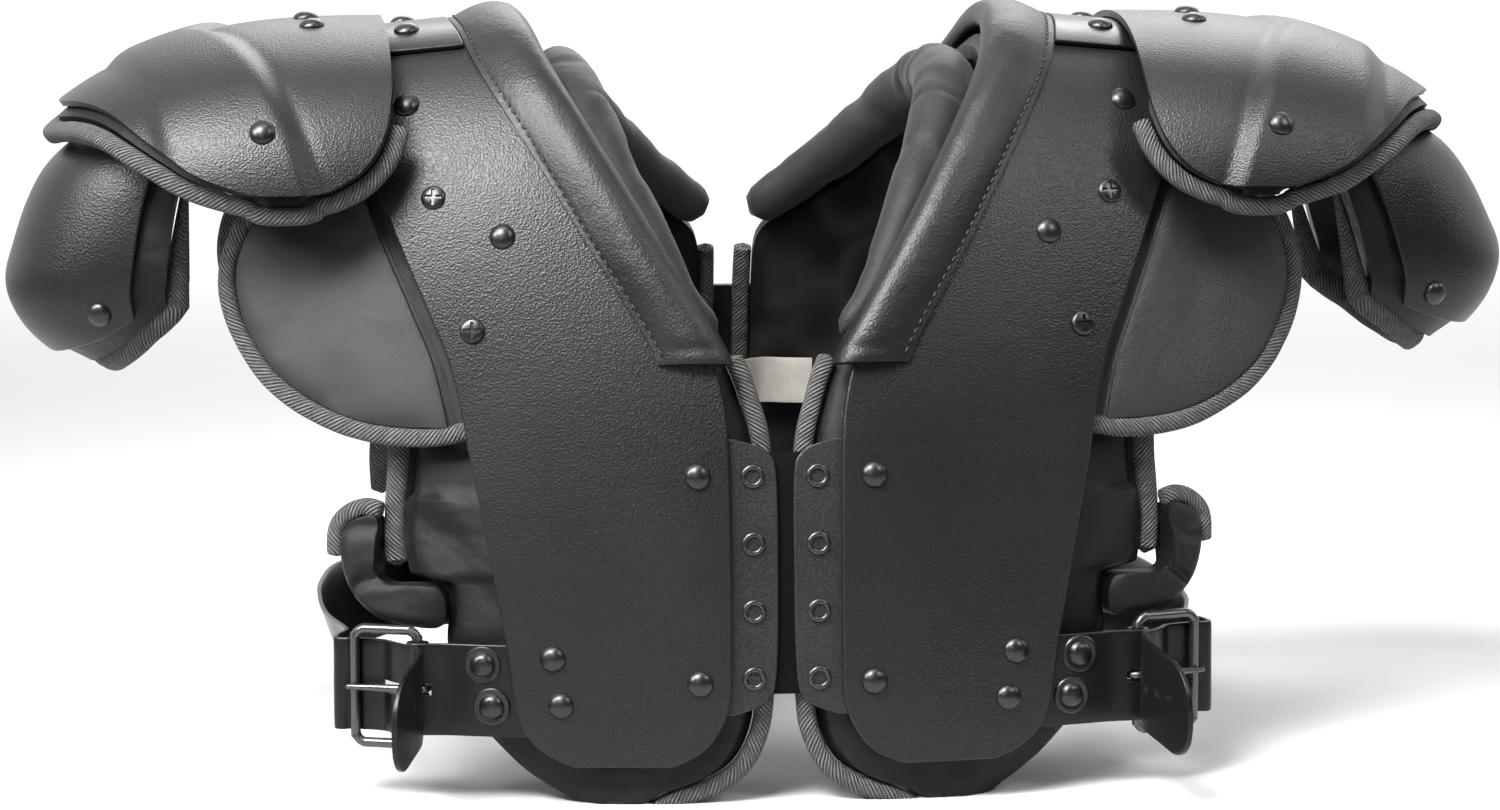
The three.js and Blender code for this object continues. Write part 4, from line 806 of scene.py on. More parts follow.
FLAP_FRONT = [
    (121, 0.209), (142, 0.2045), (166, 0.2085), (185, 0.2195), (199, 0.234), (208, 0.251),
    (214, 0.27), (216, 0.29), (213, 0.31), (205, 0.33), (190, 0.346), (170, 0.349),
    (155, 0.338), (147, 0.318), (139, 0.29), (130, 0.25),
]
FLAP_MIDDLE = (174, 0.277)
FLAP_REAR = [
    (row, 1 - (0.277 - 1.5 * (0.277 - along) if along < 0.277 else along)) for row, along in FLAP_FRONT]
PAD_RINGS = [0, 0.015, 0.035, 0.06, 0.1, 0.15, 0.22, 0.3, 0.4, 0.5, 0.6, 0.7, 0.8, 0.9, 0.97]


def pad_mesh(name, chart, outline, middle, full_at, faces, across, count=150):
    """A stuffed pad from its outline to its middle; across(row, along) gives the chart's u."""
    flat = smooth_edge(chart, outline, count, closed=True)
    inwards = np.array(PAD_RINGS)[:, None, None]
    at = flat + inwards * (np.asarray(middle) - flat)
    row, along = at[..., 0], at[..., 1]
    fullness = np.broadcast_to(1 - (1 - np.minimum(inwards[..., 0] / full_at, 1)) ** 4, row.shape)
    top, low = faces(row, along, fullness)
    rings = [chart.point(row, along, top), chart.point(row, along, low)]
    n = len(PAD_RINGS)
    points = np.concatenate([rings[0][::-1].reshape(-1, 3), rings[1].reshape(-1, 3)])
    quads = grid_faces(2 * n, count, closed=True)
    quads += [tuple(range(count)), tuple(range((2 * n - 1) * count, 2 * n * count))]
    charted = np.stack([across(row, along), along * chart.total], -1)
    charted = np.concatenate([charted[::-1].reshape(-1, 2), charted.reshape(-1, 2)])
    return finish_mesh(name, points, quads, charted)


STRIP_WIDTH = 5


def past_plate(row, along):
    """How far a place lies outside the plate's outer edge."""
    return row - curve(PLATE, 2, along)


def flap_faces(seed):
    """A flap's two lifts: thin under the plate and along the mesh strip, full beyond them."""
    def faces(row, along, fullness):
        clear = smooth(row / REACH, 0.49, 0.635)
        at = torso.surface(row, along)
        folds = np.maximum(ripple(at * (1, 1, 0.5), 17, seed + 30), 0) * 1.1
        folds = folds + np.abs(ripple(at, 6, seed)) * 0.25
        low = -SEAT_GAP - 3.5 - 8 * fullness * clear - 1.2 * clear * (1 - fullness)
        past = past_plate(row, along)
        strip = smooth(past, -2, 2) * (1 - smooth(past, STRIP_WIDTH - 1, STRIP_WIDTH + 3))
        top = -SEAT_GAP - 2 * (1 - fullness) * clear - folds * fullness * clear - 2.4 * strip
        return top, low + folds * 0.6 * fullness * clear
    return faces


flap_knit = Finish("flap_knit", (0.02, 0.018, 0.017), 0.55, **{
    "Sheen Weight": 0.05, "Specular IOR Level": 0.4})
beyond_plate, v = flap_knit.chart()
on_strip = 1.0 - beyond_plate.step(0.0052, 0.0058)
dots = (beyond_plate * 5200).sin() * (v * 5200).sin()
holes = dots.step(0.15, 0.45) * on_strip
seam = 1.0 - abs(beyond_plate - 0.0062).step(0.0004, 0.0012)
flap_knit.set(Roughness=0.47 + 0.1 * flap_knit.speckle(110) + 0.15 * on_strip)
flap_knit.colours(
    0.5 - 0.1 * holes - 0.33 * on_strip - 0.3 * seam + 0.3 * (flap_knit.speckle(45, 3) - 0.5),
    (0.1, (0.002, 0.002, 0.002)), (0.42, (0.009, 0.0085, 0.008)), (0.85, (0.022, 0.02, 0.0185)))
flap_knit.bumps((1.0 - holes, 0.0009, 0.7), (1.0 - seam, 0.0012, 0.8), (dots, 0.0002, 0.4),
                (flap_knit.speckle(60, 3), 0.0012, 0.3))


for seed, side in enumerate(SIDES):
    for name, outline, middle, away, first in (
            ("chest_flap", FLAP_FRONT, FLAP_MIDDLE, -1, 0), ("back_flap", FLAP_REAR, (174, 0.723), 1, 1)):
        mesh = pad_mesh(name, torso, outline, middle, 0.35, flap_faces(seed), past_plate)
        set_down(name + "_pad", side, mesh, [flap_knit], [name])
        free_edge = smooth_edge(torso, outline[first:11], 110)
        tape(name + "_tape", side, torso, beside(torso, free_edge, away * TAPE_OUT), -4.45,
             [name + "_binding"], size=(TAPE_WIDTH, 6.4), seed=seed + 6)


# Side wings.
# The liner's side ends, loose nylon over soft foam that bulges and folds above the belt, taped
# along the upper corner.
WING_DOWN, WING_THIN, WING_FULL = 7.5, 10, 15
WING = [
    (139.2, 0.1165), (162.6, 0.121), (163.2, 0.153), (170, 0.155), (177, 0.148), (178, 0.132),
    (174, 0.114), (166, 0.102), (156, 0.0965), (138, 0.0955),
]


def wing_faces(seed):
    """The wing's two lifts, full in the middle and with slanting folds."""
    def faces(row, along, fullness):
        at = torso.surface(row, along)
        slant = (at[..., 2] + 0.5 * at[..., 0]) / 4.2 + 2.2 * ripple(at, 24, seed)
        folds = np.maximum(np.sin(slant), 0) ** 2
        half = (WING_THIN + (WING_FULL - WING_THIN) * fullness) / 2
        top = LINER_TOP - WING_DOWN + half - 2.6 * folds * fullness
        return top, LINER_TOP - WING_DOWN - half + 1.5 * folds * fullness
    return faces


for seed, side in enumerate(SIDES):
    mesh = pad_mesh("wing", torso, WING, (165, 0.117), 0.5, wing_faces(seed), lambda row, along: row, 160)
    set_down("wing", side, mesh, [nylon], ["side_wing"])
    upper = smooth_edge(torso, WING[2:6], 60)
    tape("wing_tape", side, torso, beside(torso, upper, 3.8), LINER_TOP - WING_DOWN,
         ["side_wing_binding"], size=(TAPE_WIDTH, 7.2), seed=seed + 8)


# Collar rolls.
# Padded leather strips hooked over the neck edge of each plate, stitched near the outer edge
# and hemmed at the ends.
OVER_GAP = 0.35
COLLAR_OVER = PLATE_THICKNESS + OVER_GAP
COLLAR_BACK = [(-0.7, -3.2), (-0.7, COLLAR_OVER), (22, COLLAR_OVER)]
COLLAR_FACE = [
    (22, COLLAR_OVER + 1.3), (20.6, COLLAR_OVER + 1.7), (19.2, COLLAR_OVER + 1.6),
    (17.6, COLLAR_OVER + 2.9), (11, COLLAR_OVER + 5.5), (3.5, COLLAR_OVER + 6.6),
    (-3.2, COLLAR_OVER + 5), (-7, COLLAR_OVER + 1), (-8, -0.6), (-5.6, -3.1),
]
COLLAR_START, COLLAR_END = 0.236, 0.757
SEAM_FROM_EDGE = 2.8

leather = Finish("collar_leather", (0.005, 0.0048, 0.0046), 0.4, **{"Specular IOR Level": 0.32})
grain = leather.node("TexVoronoi", "Distance", Vector=leather.place(), Scale=1100, feature="SMOOTH_F1")
worn = leather.speckle(30, 5)
leather.set(Roughness=0.34 + 0.2 * worn)
leather.colours(worn, (0.3, (0.0035, 0.0034, 0.0033)), (0.75, (0.008, 0.0075, 0.007)))
leather.bumps(
    (grain, 0.0003, 0.5), (leather.speckle(140, 4), 0.0008, 0.4), (leather.speckle(26, 2), 0.003, 0.25))

collar_stations = spans(
    (COLLAR_START, COLLAR_START + 0.016, 9), (0.256, 0.737, 150), (COLLAR_END - 0.016, COLLAR_END, 9))
from_end = np.minimum(collar_stations - COLLAR_START, COLLAR_END - collar_stations) * torso.total
hem = 0.82 + 0.1 * smooth(from_end, 6.5, 8.5) + 0.08 * (1 - smooth(np.abs(from_end - 2.4), 1.0, 2.6))
for seed, side in enumerate(SIDES):
    face = smooth_path(COLLAR_FACE, 34)
    back_face = np.array(COLLAR_BACK)
    out = np.concatenate([face[:, 0], back_face[:, 0]])
    high = np.concatenate([face[:, 1], back_face[:, 1]])
    on_face = np.arange(len(out)) < len(face)
    row = curve(PLATE, 1, collar_stations)[:, None] + out
    along = np.broadcast_to(collar_stations[:, None], row.shape)
    puff = hem[:, None] + 0.05 * ripple(torso.surface(row, along), 18, seed + 40)
    raised = COLLAR_OVER + 1 + (high - COLLAR_OVER - 1) * puff
    lift = np.where(on_face & (high > COLLAR_OVER + 1), raised, np.broadcast_to(high, row.shape))
    mesh = tube_mesh("collar", torso.point(row, along, lift))
    set_down("collar_roll", side, mesh, [leather], ["collar"])


# Collar stitches.
# One row of thick thread along each collar's outer edge: a node group lays a spindle at every
# pitch along a path.
def stitch_group():
    group = bpy.data.node_groups.new("stitch_row", "GeometryNodeTree")
    group.interface.new_socket("Geometry", in_out="INPUT", socket_type="NodeSocketGeometry")
    for title in ("Pitch", "Length", "Thickness"):
        group.interface.new_socket(title, in_out="INPUT", socket_type="NodeSocketFloat")
    group.interface.new_socket("Material", in_out="INPUT", socket_type="NodeSocketMaterial")
    group.interface.new_socket("Geometry", in_out="OUTPUT", socket_type="NodeSocketGeometry")

    def node(kind, setting=None, **inputs):
        made = group.nodes.new(kind)
        if setting:
            setattr(made, *setting)
        for key, value in inputs.items():
            inlet = made.inputs[key]
            if isinstance(value, bpy.types.NodeSocket):
                group.links.new(value, inlet)
            else:
                inlet.default_value = value
        return made

    given = group.nodes.new("NodeGroupInput")
    path = node("GeometryNodeMeshToCurve", Mesh=given.outputs["Geometry"])
    evened = node("GeometryNodeResampleCurve", ("mode", "LENGTH"), Curve=path.outputs[0],
                  Length=given.outputs["Pitch"])
    spindle = node("GeometryNodeMeshUVSphere", Segments=8, Rings=6, Radius=0.5)
    size = node("ShaderNodeCombineXYZ", X=given.outputs["Thickness"], Y=given.outputs["Thickness"],
                Z=given.outputs["Length"])
    tangent = node("GeometryNodeInputTangent")
    turn = node("FunctionNodeAlignRotationToVector", ("axis", "Z"), Vector=tangent.outputs[0])
    row = node("GeometryNodeInstanceOnPoints", Points=evened.outputs[0], Instance=spindle.outputs[0],
               Rotation=turn.outputs[0], Scale=size.outputs[0])
    real = node("GeometryNodeRealizeInstances", Geometry=row.outputs[0])
    dressed = node("GeometryNodeSetMaterial", Geometry=real.outputs[0], Material=given.outputs["Material"])
    out = group.nodes.new("NodeGroupOutput")
    group.links.new(dressed.outputs[0], out.inputs[0])
    return group


STITCH_ROW = stitch_group()


STITCH_PITCH, STITCH_LENGTH, STITCH_THICKNESS = 4.2, 3.1, 1.15


def stitches(name, path, side, finish):
    """A row of stitches along millimetre points, as one piece."""
    mesh = bpy.data.meshes.new(name)
    edges = [(i, i + 1) for i in range(len(path) - 1)]
    mesh.from_pydata((np.asarray(path) * 0.001 + SHIFT).tolist(), edges, [])
    obj = bpy.data.objects.new(name + "_" + side, mesh)
    bpy.context.scene.collection.objects.link(obj)
    row = obj.modifiers.new("stitches", "NODES")
    row.node_group = STITCH_ROW
    values = {"Pitch": STITCH_PITCH * 0.001, "Length": STITCH_LENGTH * 0.001,
              "Thickness": STITCH_THICKNESS * 0.001, "Material": finish.material}
    for socket in STITCH_ROW.interface.items_tree:
        if socket.in_out == "INPUT" and socket.name in values:
            row[socket.identifier] = values[socket.name]
    settle(obj)
    obj.data.shade_smooth()
    if side == "left":
        mirror(obj.data)
    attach(obj, "root")


thread = Finish("black_thread", (0.003, 0.003, 0.003), 0.6)
thread.set(Roughness=0.5 + 0.2 * thread.speckle(700))

seam_stations = np.linspace(COLLAR_START + 0.006, COLLAR_END - 0.006, 160)
seam_rows = curve(PLATE, 1, seam_stations) + 22 - SEAM_FROM_EDGE
for side in SIDES:
    stitches("collar_stitches", torso.point(seam_rows, seam_stations, COLLAR_OVER + 1.9), side, thread)


# Front closure and back bridge.
# Two thin plates with four nickel eyelets each, riveted behind the arch plates' front edges, with
# a soft tongue behind the gap; at the back one plate joins the two halves.
LACE_TOP, LACE_LOW = -SEAT_GAP, -3.2
LACE_PLATE = [
    (0.049, 21, 46), (0.052, 14, 46), (0.056, 9, 46), (0.062, 5.2, 46), (0.084, 3.6, 46),
    (0.125, 3.2, 46), (0.165, 3.2, 46), (0.183, 4, 46), (0.188, 5.6, 46), (0.193, 10.5, 46),
    (0.197, 21, 46),
]
EYELET_ROW = 13
EYELETS = [0.069, 0.105, 0.141, 0.177]
EYELET = [
    (0.2, -2.2), (2.5, -2.2), (2.6, 0.3), (2.9, 0.95), (3.5, 1.25), (4.2, 1.1), (4.7, 0.6),
    (4.85, 0.05), (4.7, -0.9),
]
eyelet_nickel = Finish("eyelet_nickel", (0.05, 0.05, 0.05), 0.25, Metallic=0.8)
eyelet_nickel.set(Roughness=0.2 + 0.1 * eyelet_nickel.speckle(300))


def flat_faces(top, low):
    return lambda share, row, along: (np.full(row.shape, float(top)), np.full(row.shape, float(low)))


closure_plastic = grained_plastic("smooth_plastic", 0.006, 0.4)
lace_stations = spans((0.049, 0.066, 18), (0.072, 0.18, 24), (0.182, 0.197, 16))
for side in SIDES:
    mesh = shell("lace_plate", torso, LACE_PLATE, lace_stations, np.linspace(0, 1, 12),
                 flat_faces(LACE_TOP, LACE_LOW))
    plate = set_down("lacing", side, mesh, [closure_plastic], ["lace_plate"])
    rounded(plate, 0.7)
    eyelets = studs("eyelets", side, torso, [(EYELET_ROW, along) for along in EYELETS], LACE_TOP, EYELET,
                    eyelet_nickel)
    # Painted shade: each eyelet's hole floor, and its hidden end caps, are coloured near-black where an
    # open hole would show shade.
    eyelets.data.materials.append(painted_shade_black.material)
    faces_each = STUD_SIDES * (len(EYELET) - 1) + 2
    for face in eyelets.data.polygons:
        in_hole = face.index % faces_each < STUD_SIDES
        face.material_index = int(in_hole or len(face.vertices) > 4)

# The tongue is coloured near-black as painted shade for the deep shadow in the gap between the lace
# plates.
tongue_table = [(0.06, -42, 42), (0.19, -42, 42)]
mesh = shell("tongue", torso, tongue_table, np.linspace(0.06, 0.19, 40), np.linspace(0, 1, 30),
             flat_faces(-3.55, -5.15))
set_down("tongue_cloth", "", mesh, [painted_shade_black], ["front_tongue"])
bridge_table = [(0.759, -45, 45), (0.94, -45, 45)]
mesh = shell("bridge", torso, bridge_table, np.linspace(0.759, 0.94, 60), np.linspace(0, 1, 30),
             flat_faces(LACE_TOP, LACE_LOW))
bridge = set_down("back_bridge_plate", "", mesh, [closure_plastic], ["back_bridge"])
rounded(bridge, 0.7)


# Care label.
# A blank strip of pale woven tape, sewn by one end to the lining at the middle of the back.
LABEL_PATH = [(22, -5), (11, -2.5), (0, 0), (-13, -13), (-22, -27)]
LABEL_WIDTH, LABEL_THICKNESS = 20, 0.8

label_weave = Finish("label_weave", (0.4, 0.375, 0.335), 0.8)
u, v = label_weave.chart()
label_weave.set(Roughness=0.74 + 0.1 * label_weave.speckle(200))
label_weave.colours(label_weave.speckle(70, 3), (0.3, (0.34, 0.315, 0.28)), (0.7, (0.46, 0.435, 0.39)))
label_weave.bumps(
    ((u * 9000).sin() * (v * 9000).sin(), 0.0002, 0.6), (label_weave.speckle(60, 2), 0.0015, 0.4))

root = torso.point(17, 0.81, LINER_LOW - 3.2)
label_line = smooth_path(LABEL_PATH, 40)
label_centres = root + np.column_stack([label_line, np.zeros(len(label_line))])
rings = swept_rings(label_centres, np.array([0.0, 0, 1]) + 0 * label_centres,
                    oval(20, LABEL_THICKNESS, LABEL_WIDTH, 8))
label = set_down("blank_label", "", tube_mesh("label", rings), [label_weave],
                 ["care_label"])


# Bridge straps.
# A stiff glossy strip over each shoulder, riveted at its front and back end, that carries the
# epaulet.
BRIDGE_LIFT = PLATE_THICKNESS + OVER_GAP
STRAP_THICKNESS = 2
BRIDGE_RIVETS = [(143, 0.465), (143, 0.535)]

coated = Finish("coated_strap", (0.004, 0.004, 0.0042), 0.3, **{"Specular IOR Level": 0.25})
coated.set(Roughness=0.24 + 0.16 * coated.speckle(50, 4))
coated.bumps((coated.speckle(420, 2), 0.0002, 0.4), (coated.speckle(26, 2), 0.002, 0.2))

bridge_stations = np.linspace(0.435, 0.565, 50)
bridge_rows = [(s, float(curve(PLATE, 1, s)) + 22.5, 176) for s in bridge_stations]
for side in SIDES:
    mesh = shell("strap", torso, bridge_rows, bridge_stations, np.linspace(0, 1, 16),
                 flat_faces(BRIDGE_LIFT + STRAP_THICKNESS, BRIDGE_LIFT))
    strap = set_down("shoulder_strap", side, mesh, [coated], ["bridge_strap"])
    rounded(strap, 0.6)
    studs("strap_rivets", side, torso, BRIDGE_RIVETS, BRIDGE_LIFT + STRAP_THICKNESS, DOME, rivet_black)


# Epaulets.
# Moulded shells over the shoulders with two ridges that fan out from the crest, each over a
# nylon-covered foam pad whose edge is bound in twill tape.
EPAULET_START, EPAULET_SPAN = 150, 134


def epaulet_share(x):
    return (x - EPAULET_START) / EPAULET_SPAN


epaulet = Arch(
    depth=lambda x: 108 * np.sqrt(np.maximum(1 - (0.9 * epaulet_share(x) - 0.2) ** 2, 0.1)),
    crest=lambda x: 302.5 - 33 * np.maximum(epaulet_share(x), 0) ** 3,
    base=lambda x: 228 + 0 * x,
    squareness=2.3,
    place=lambda x, y, z: (x, y, z),
    reference=EPAULET_START,
)
EPAULET = with_back([
    (0.0465, 186.8, 203.6), (0.0495, 180.5, 209), (0.055, 176, 214), (0.075, 166, 228),
    (0.11, 158, 240), (0.16, 153.5, 252), (0.23, 152, 263), (0.31, 152, 273), (0.4, 152.5, 280.5),
], [(0.5, 153, 284)])
EPAULET_RIVETS = [(182, 0.41), (184, 0.5), (203, 0.13), (203, 0.87)]
EPAULET_PAD_THICKNESS = 11


INNER_RIDGE, OUTER_RIDGE = (229, 45), (262, 24)
RIDGE_HEIGHT, RIDGE_HALF_SLOPE = 3.2, 5


def ridge_lift(x, along):
    """Two moulded ridges fan out from the crest and leave a raised panel between them.

    Each ridge has its place at the crest and how far it runs inwards to the edge."""
    towards_edge = np.abs(along - 0.5) / 0.45
    inner = INNER_RIDGE[0] - INNER_RIDGE[1] * towards_edge
    outer = OUTER_RIDGE[0] - OUTER_RIDGE[1] * towards_edge
    rise = smooth(x - inner, -RIDGE_HALF_SLOPE, RIDGE_HALF_SLOPE)
    lift = RIDGE_HEIGHT * rise * smooth(outer - x, -RIDGE_HALF_SLOPE, RIDGE_HALF_SLOPE)
    grooves = [np.exp(-((x - edge) / 2.2) ** 2) for edge in (inner - 5.5, outer + 5.5)]
    return lift - 0.35 * (grooves[0] + grooves[1])


def epaulet_faces(share, row, along):
    lift = ridge_lift(row, along)
    return PLATE_THICKNESS + lift, lift


def epaulet_pad_table():
    stations = np.linspace(0.036, 0.964, 130)
    rows = [(0.036, 188.9, 199.6), *EPAULET, (0.964, 188.9, 199.6)]
    near_crest = smooth(0.5 - np.abs(stations - 0.5), 0.16, 0.42)
    inner = curve(rows, 1, stations) - 1 + 46 * near_crest
    return np.stack([stations, inner, curve(rows, 2, stations) + 3.5], -1)


def cushion_faces(chart, seed, thickness, soft_edge):
    """A flat-topped foam pad with puffed edges and a softly dented underside."""
    def faces(share, row, along):
        puff = 1 - smooth(np.minimum(share, 1 - share), 0, 0.16)
        dent = ripple(chart.surface(row, along), 19, seed)
        top = -SEAT_GAP - 0.6 * soft_edge * puff ** 2
        low = -SEAT_GAP - thickness + soft_edge * puff ** 2 + 0.5 * dent
        return top, low
    return faces


EPAULET_PAD = epaulet_pad_table()
epaulet_stations = spans((0.0465, 0.06, 14), (0.066, 0.934, 140), (0.94, 0.9535, 14))
pad_stations = spans((0.036, 0.06, 16), (0.066, 0.934, 120), (0.94, 0.964, 16))
corner_stations = [0.16, 0.11, 0.075, 0.055, 0.0465, 0.036]
outer_stations = [0.036, 0.0465, 0.055, 0.075, 0.11, 0.16, 0.23, 0.31, 0.4, 0.5, 0.6, 0.69, 0.77,
                  0.84, 0.89, 0.925, 0.945, 0.9535, 0.964]
epaulet_edge = np.vstack([
    edge_of(EPAULET_PAD, 1, corner_stations), edge_of(EPAULET_PAD, 2, outer_stations),
    edge_of(EPAULET_PAD, 1, [1 - s for s in reversed(corner_stations)])])
epaulet_edge = smooth_edge(epaulet, epaulet_edge, 240)
for seed, side in enumerate(SIDES):
    mesh = shell("epaulet", epaulet, EPAULET, epaulet_stations, np.linspace(0, 1, 56), epaulet_faces)
    shoulder = set_down("epaulet", side, mesh, [plate_plastic], ["epaulet_shell"])
    rounded(shoulder, 0.9, angle=60)
    places = [(row, along, float(ridge_lift(row, along))) for row, along in EPAULET_RIVETS]
    studs("epaulet_rivets", side, epaulet, places, PLATE_THICKNESS, DOME, rivet_black)
    mesh = shell("epaulet_pad", epaulet, EPAULET_PAD, pad_stations, np.linspace(0, 1, 30),
                 cushion_faces(epaulet, seed + 50, EPAULET_PAD_THICKNESS, 2.5))
    set_down("epaulet_cushion", side, mesh, [nylon], ["epaulet_pad"])
    tape("epaulet_tape", side, epaulet, beside(epaulet, epaulet_edge, -4.65), -6.2,
         ["epaulet_binding"], seed=seed + 10)


# Arm caps.
# Curved shells over the upper arms, a nylon foam pad with a taped lower edge under each, and a
# webbing hanger that joins the pad to the underside of the epaulet's pad.
ARM_TOP, ARM_DROP = 266.6, 110
ARM_HALF_DEPTH, ARM_OUT, ARM_CURVE = 58, 306, 70
ARM_PIVOT = (262, 0, ARM_TOP)
ARM_SECTIONS = [
    (0, 44, 0.76), (0.1, 30, 0.84), (0.21, 17, 0.91), (0.34, 9, 0.95), (0.5, 3, 0.97),
    (0.61, 0, 0.95), (0.7, 2, 0.91), (0.8, 9, 0.84), (0.9, 22, 0.7), (1, 40, 0.55),
]


def arm_column(column, z):
    return curve(ARM_SECTIONS, column, (ARM_TOP - z) / ARM_DROP)


arm = Arch(
    depth=lambda z: ARM_HALF_DEPTH * arm_column(2, z),
    crest=lambda z: ARM_OUT - arm_column(1, z),
    base=lambda z: ARM_OUT - ARM_CURVE - 0.35 * arm_column(1, z),
    squareness=2.2,
    place=lambda z, y, x: (x, y, z),
    reference=ARM_TOP - ARM_DROP / 2,
)
ARM_ROWS = with_back([
    (0.035, 0.15, 0.64), (0.1, 0.1, 0.72), (0.17, 0.05, 0.78), (0.27, 0.01, 0.83), (0.385, 0, 0.86),
], [(0.5, 0, 0.86)])
ARM_TABLE = [(s, ARM_TOP - high * ARM_DROP, ARM_TOP - low * ARM_DROP) for s, high, low in ARM_ROWS]
ARM_RIVETS = [(ARM_TOP - 0.7 * ARM_DROP, 0.17), (ARM_TOP - 0.7 * ARM_DROP, 0.83)]
ARM_SWING = {"left": 0, "right": 8}
ARM_PAD_THICKNESS = 12


def arm_turn(side):
    """Swings a right-hand piece out about the cap's upper edge, by its own side's angle."""
    pivot = Matrix.Translation(Vector(SHIFT) + Vector([value / 1000 for value in ARM_PIVOT]))
    return pivot @ Matrix.Rotation(-math.radians(ARM_SWING[side]), 4, "Y") @ pivot.inverted()


arm_stations = np.linspace(0.1, 0.9, 90)
arm_pad_stations = np.linspace(0.035, 0.965, 100)
arm_pad_shares = np.concatenate([
    [0.05, 0.06, 0.08], np.linspace(0.11, 1.03, 22), [1.05, 1.07, 1.085, 1.09]])


def arm_pad_faces(seed):
    inner = cushion_faces(arm, seed, ARM_PAD_THICKNESS, 3)
    first, last = arm_pad_shares[0], arm_pad_shares[-1]
    return lambda share, row, along: inner((share - first) / (last - first), row, along)


lower = edge_of(ARM_TABLE, 2, np.linspace(0.035, 0.965, 120))
upper = edge_of(ARM_TABLE, 1, np.linspace(0.035, 0.965, 120))
arm_edge = upper + arm_pad_shares[-1] * (lower - upper)
front_corner = [(upper[0, 0] - 10, 0.035)]
rear_corner = [(upper[0, 0] - 10, 0.965)]
arm_edge = np.vstack([front_corner, arm_edge, rear_corner])
for seed, side in enumerate(SIDES):
    turn = arm_turn(side)
    mesh = shell("arm_cap", arm, ARM_TABLE, arm_stations, np.linspace(0, 1, 36),
                 lambda share, row, along: (PLATE_THICKNESS + 0 * row, 0 * row))
    mesh.transform(turn)
    cap = set_down("arm_cap", side, mesh, [plate_plastic], ["arm_cap_shell"])
    rounded(cap, 0.9, angle=60)
    studs("arm_cap_rivets", side, arm, ARM_RIVETS, PLATE_THICKNESS, DOME, rivet_black,
          turn)
    mesh = shell("arm_cushion", arm, ARM_TABLE, arm_pad_stations, arm_pad_shares,
                 arm_pad_faces(seed + 60))
    mesh.transform(turn)
    set_down("arm_cushion", side, mesh, [nylon], ["arm_cap_pad"])
    tape("arm_tape", side, arm, beside(arm, arm_edge, 3.5), -6.7, ["arm_cap_binding"],
         size=(11, 8), turn=turn, seed=seed + 12)

webbing = Finish("black_webbing", (0.008, 0.008, 0.0085), 0.7, **{"Specular IOR Level": 0.25})
u, v = webbing.chart()
ribs = (v * 3600).sin()
webbing.set(Roughness=0.66 + 0.1 * webbing.speckle(200))
webbing.bumps((ribs * (u * 3600).sin(), 0.0004, 0.7), (webbing.speckle(90, 2), 0.0006, 0.3))

HANGER_WIDTH, HANGER_THICKNESS = 36, 1.8
for side in SIDES:
    stand_off = SEAT_GAP + ARM_PAD_THICKNESS + HANGER_THICKNESS / 2 + 7.4
    pivot = np.array(ARM_PIVOT)
    spin = np.array(Matrix.Rotation(-math.radians(ARM_SWING[side]), 3, "Y"))
    low = [spin @ (arm.point(ARM_TOP - down * ARM_DROP, 0.5, -stand_off) - pivot) + pivot
           for down in (0.36, 0.24, 0.12)]
    below = -SEAT_GAP - EPAULET_PAD_THICKNESS - HANGER_THICKNESS / 2 - 1.1
    high = [epaulet.point(242, 0.5, below - 4), epaulet.point(230, 0.5, below)]
    centres = smooth_path(np.vstack([low, high]), 60)
    section = oval(28, HANGER_THICKNESS, HANGER_WIDTH, 8)
    rings = swept_rings(centres, np.array([0.0, 1, 0]) + 0 * centres, section)
    set_down("hanger", side, tube_mesh("hanger", rings), [webbing], ["arm_hanger"])


# Belts and buckles.
# Coated webbing, glossy and stiff: a short tab riveted under the front of each plate holds the
# roller-less wire buckle, and the long belt comes round from the back and ends in a free tail.
BELT_WIDTH, BELT_THICKNESS = 37, 2.2
BELT_ALONG = 0.0625
BAR_POSITION = 146
WIRE_RADIUS, PRONG_RADIUS = 2, 1.6
FRAME_LENGTH = 26
FRAME_HALF_HEIGHT = BELT_WIDTH / 2 + 4.5
BELT_FREE_END = 56
LOOP_RADIUS = WIRE_RADIUS + 0.5 + BELT_THICKNESS / 2

heel_bar = torso.point(BAR_POSITION, BELT_ALONG, -3)
outward = unit(torso.normal(np.array(float(BAR_POSITION)), np.array(BELT_ALONG)) * (1, 1, 0))
upwards = np.array([0.0, 0, 1])
rearward = -np.cross(outward, upwards)


def at_buckle(rear, out, up=0):
    """A place counted from the middle of the buckle's heel bar."""
    return heel_bar + rearward * rear + outward * out + upwards * up


def cut_boxes(obj, side, boxes):
    """Cuts boxes from a piece: each is a centre and its sizes outward, rearward and up."""
    shape = bmesh.new()
    for centre, sizes in boxes:
        axes = np.column_stack([outward, rearward, upwards]) * sizes
        matrix = Matrix(np.vstack([np.column_stack([axes * 0.001, np.asarray(centre) * 0.001 + SHIFT]),
                                   [0, 0, 0, 1]]).tolist())
        bmesh.ops.create_cube(shape, size=1, matrix=matrix)
    carved(obj, side, shape)


metal = Finish("black_nickel", (0.09, 0.09, 0.092), 0.26, Metallic=0.9)
metal.set(Roughness=0.2 + 0.16 * metal.speckle(120, 3))

TAB_WASHERS = [(120, 0.076), (116.5, 0.0535)]
tab_lift = LACE_TOP - BELT_THICKNESS / 2 - 0.2
tab_rows = np.array([0.589, 0.671, 0.753, 0.836, 0.918]) * BAR_POSITION
tab_flat = torso.point(tab_rows, BELT_ALONG, tab_lift)
tab_flat[:, 2] = heel_bar[2]
tab_turn = [at_buckle(LOOP_RADIUS * math.cos(angle), -LOOP_RADIUS * math.sin(angle))
            for angle in np.radians([-100, -55, -10, 35, 80, 120, 155])]
tab_line = smooth_path(np.vstack([tab_flat, tab_turn]), 110)

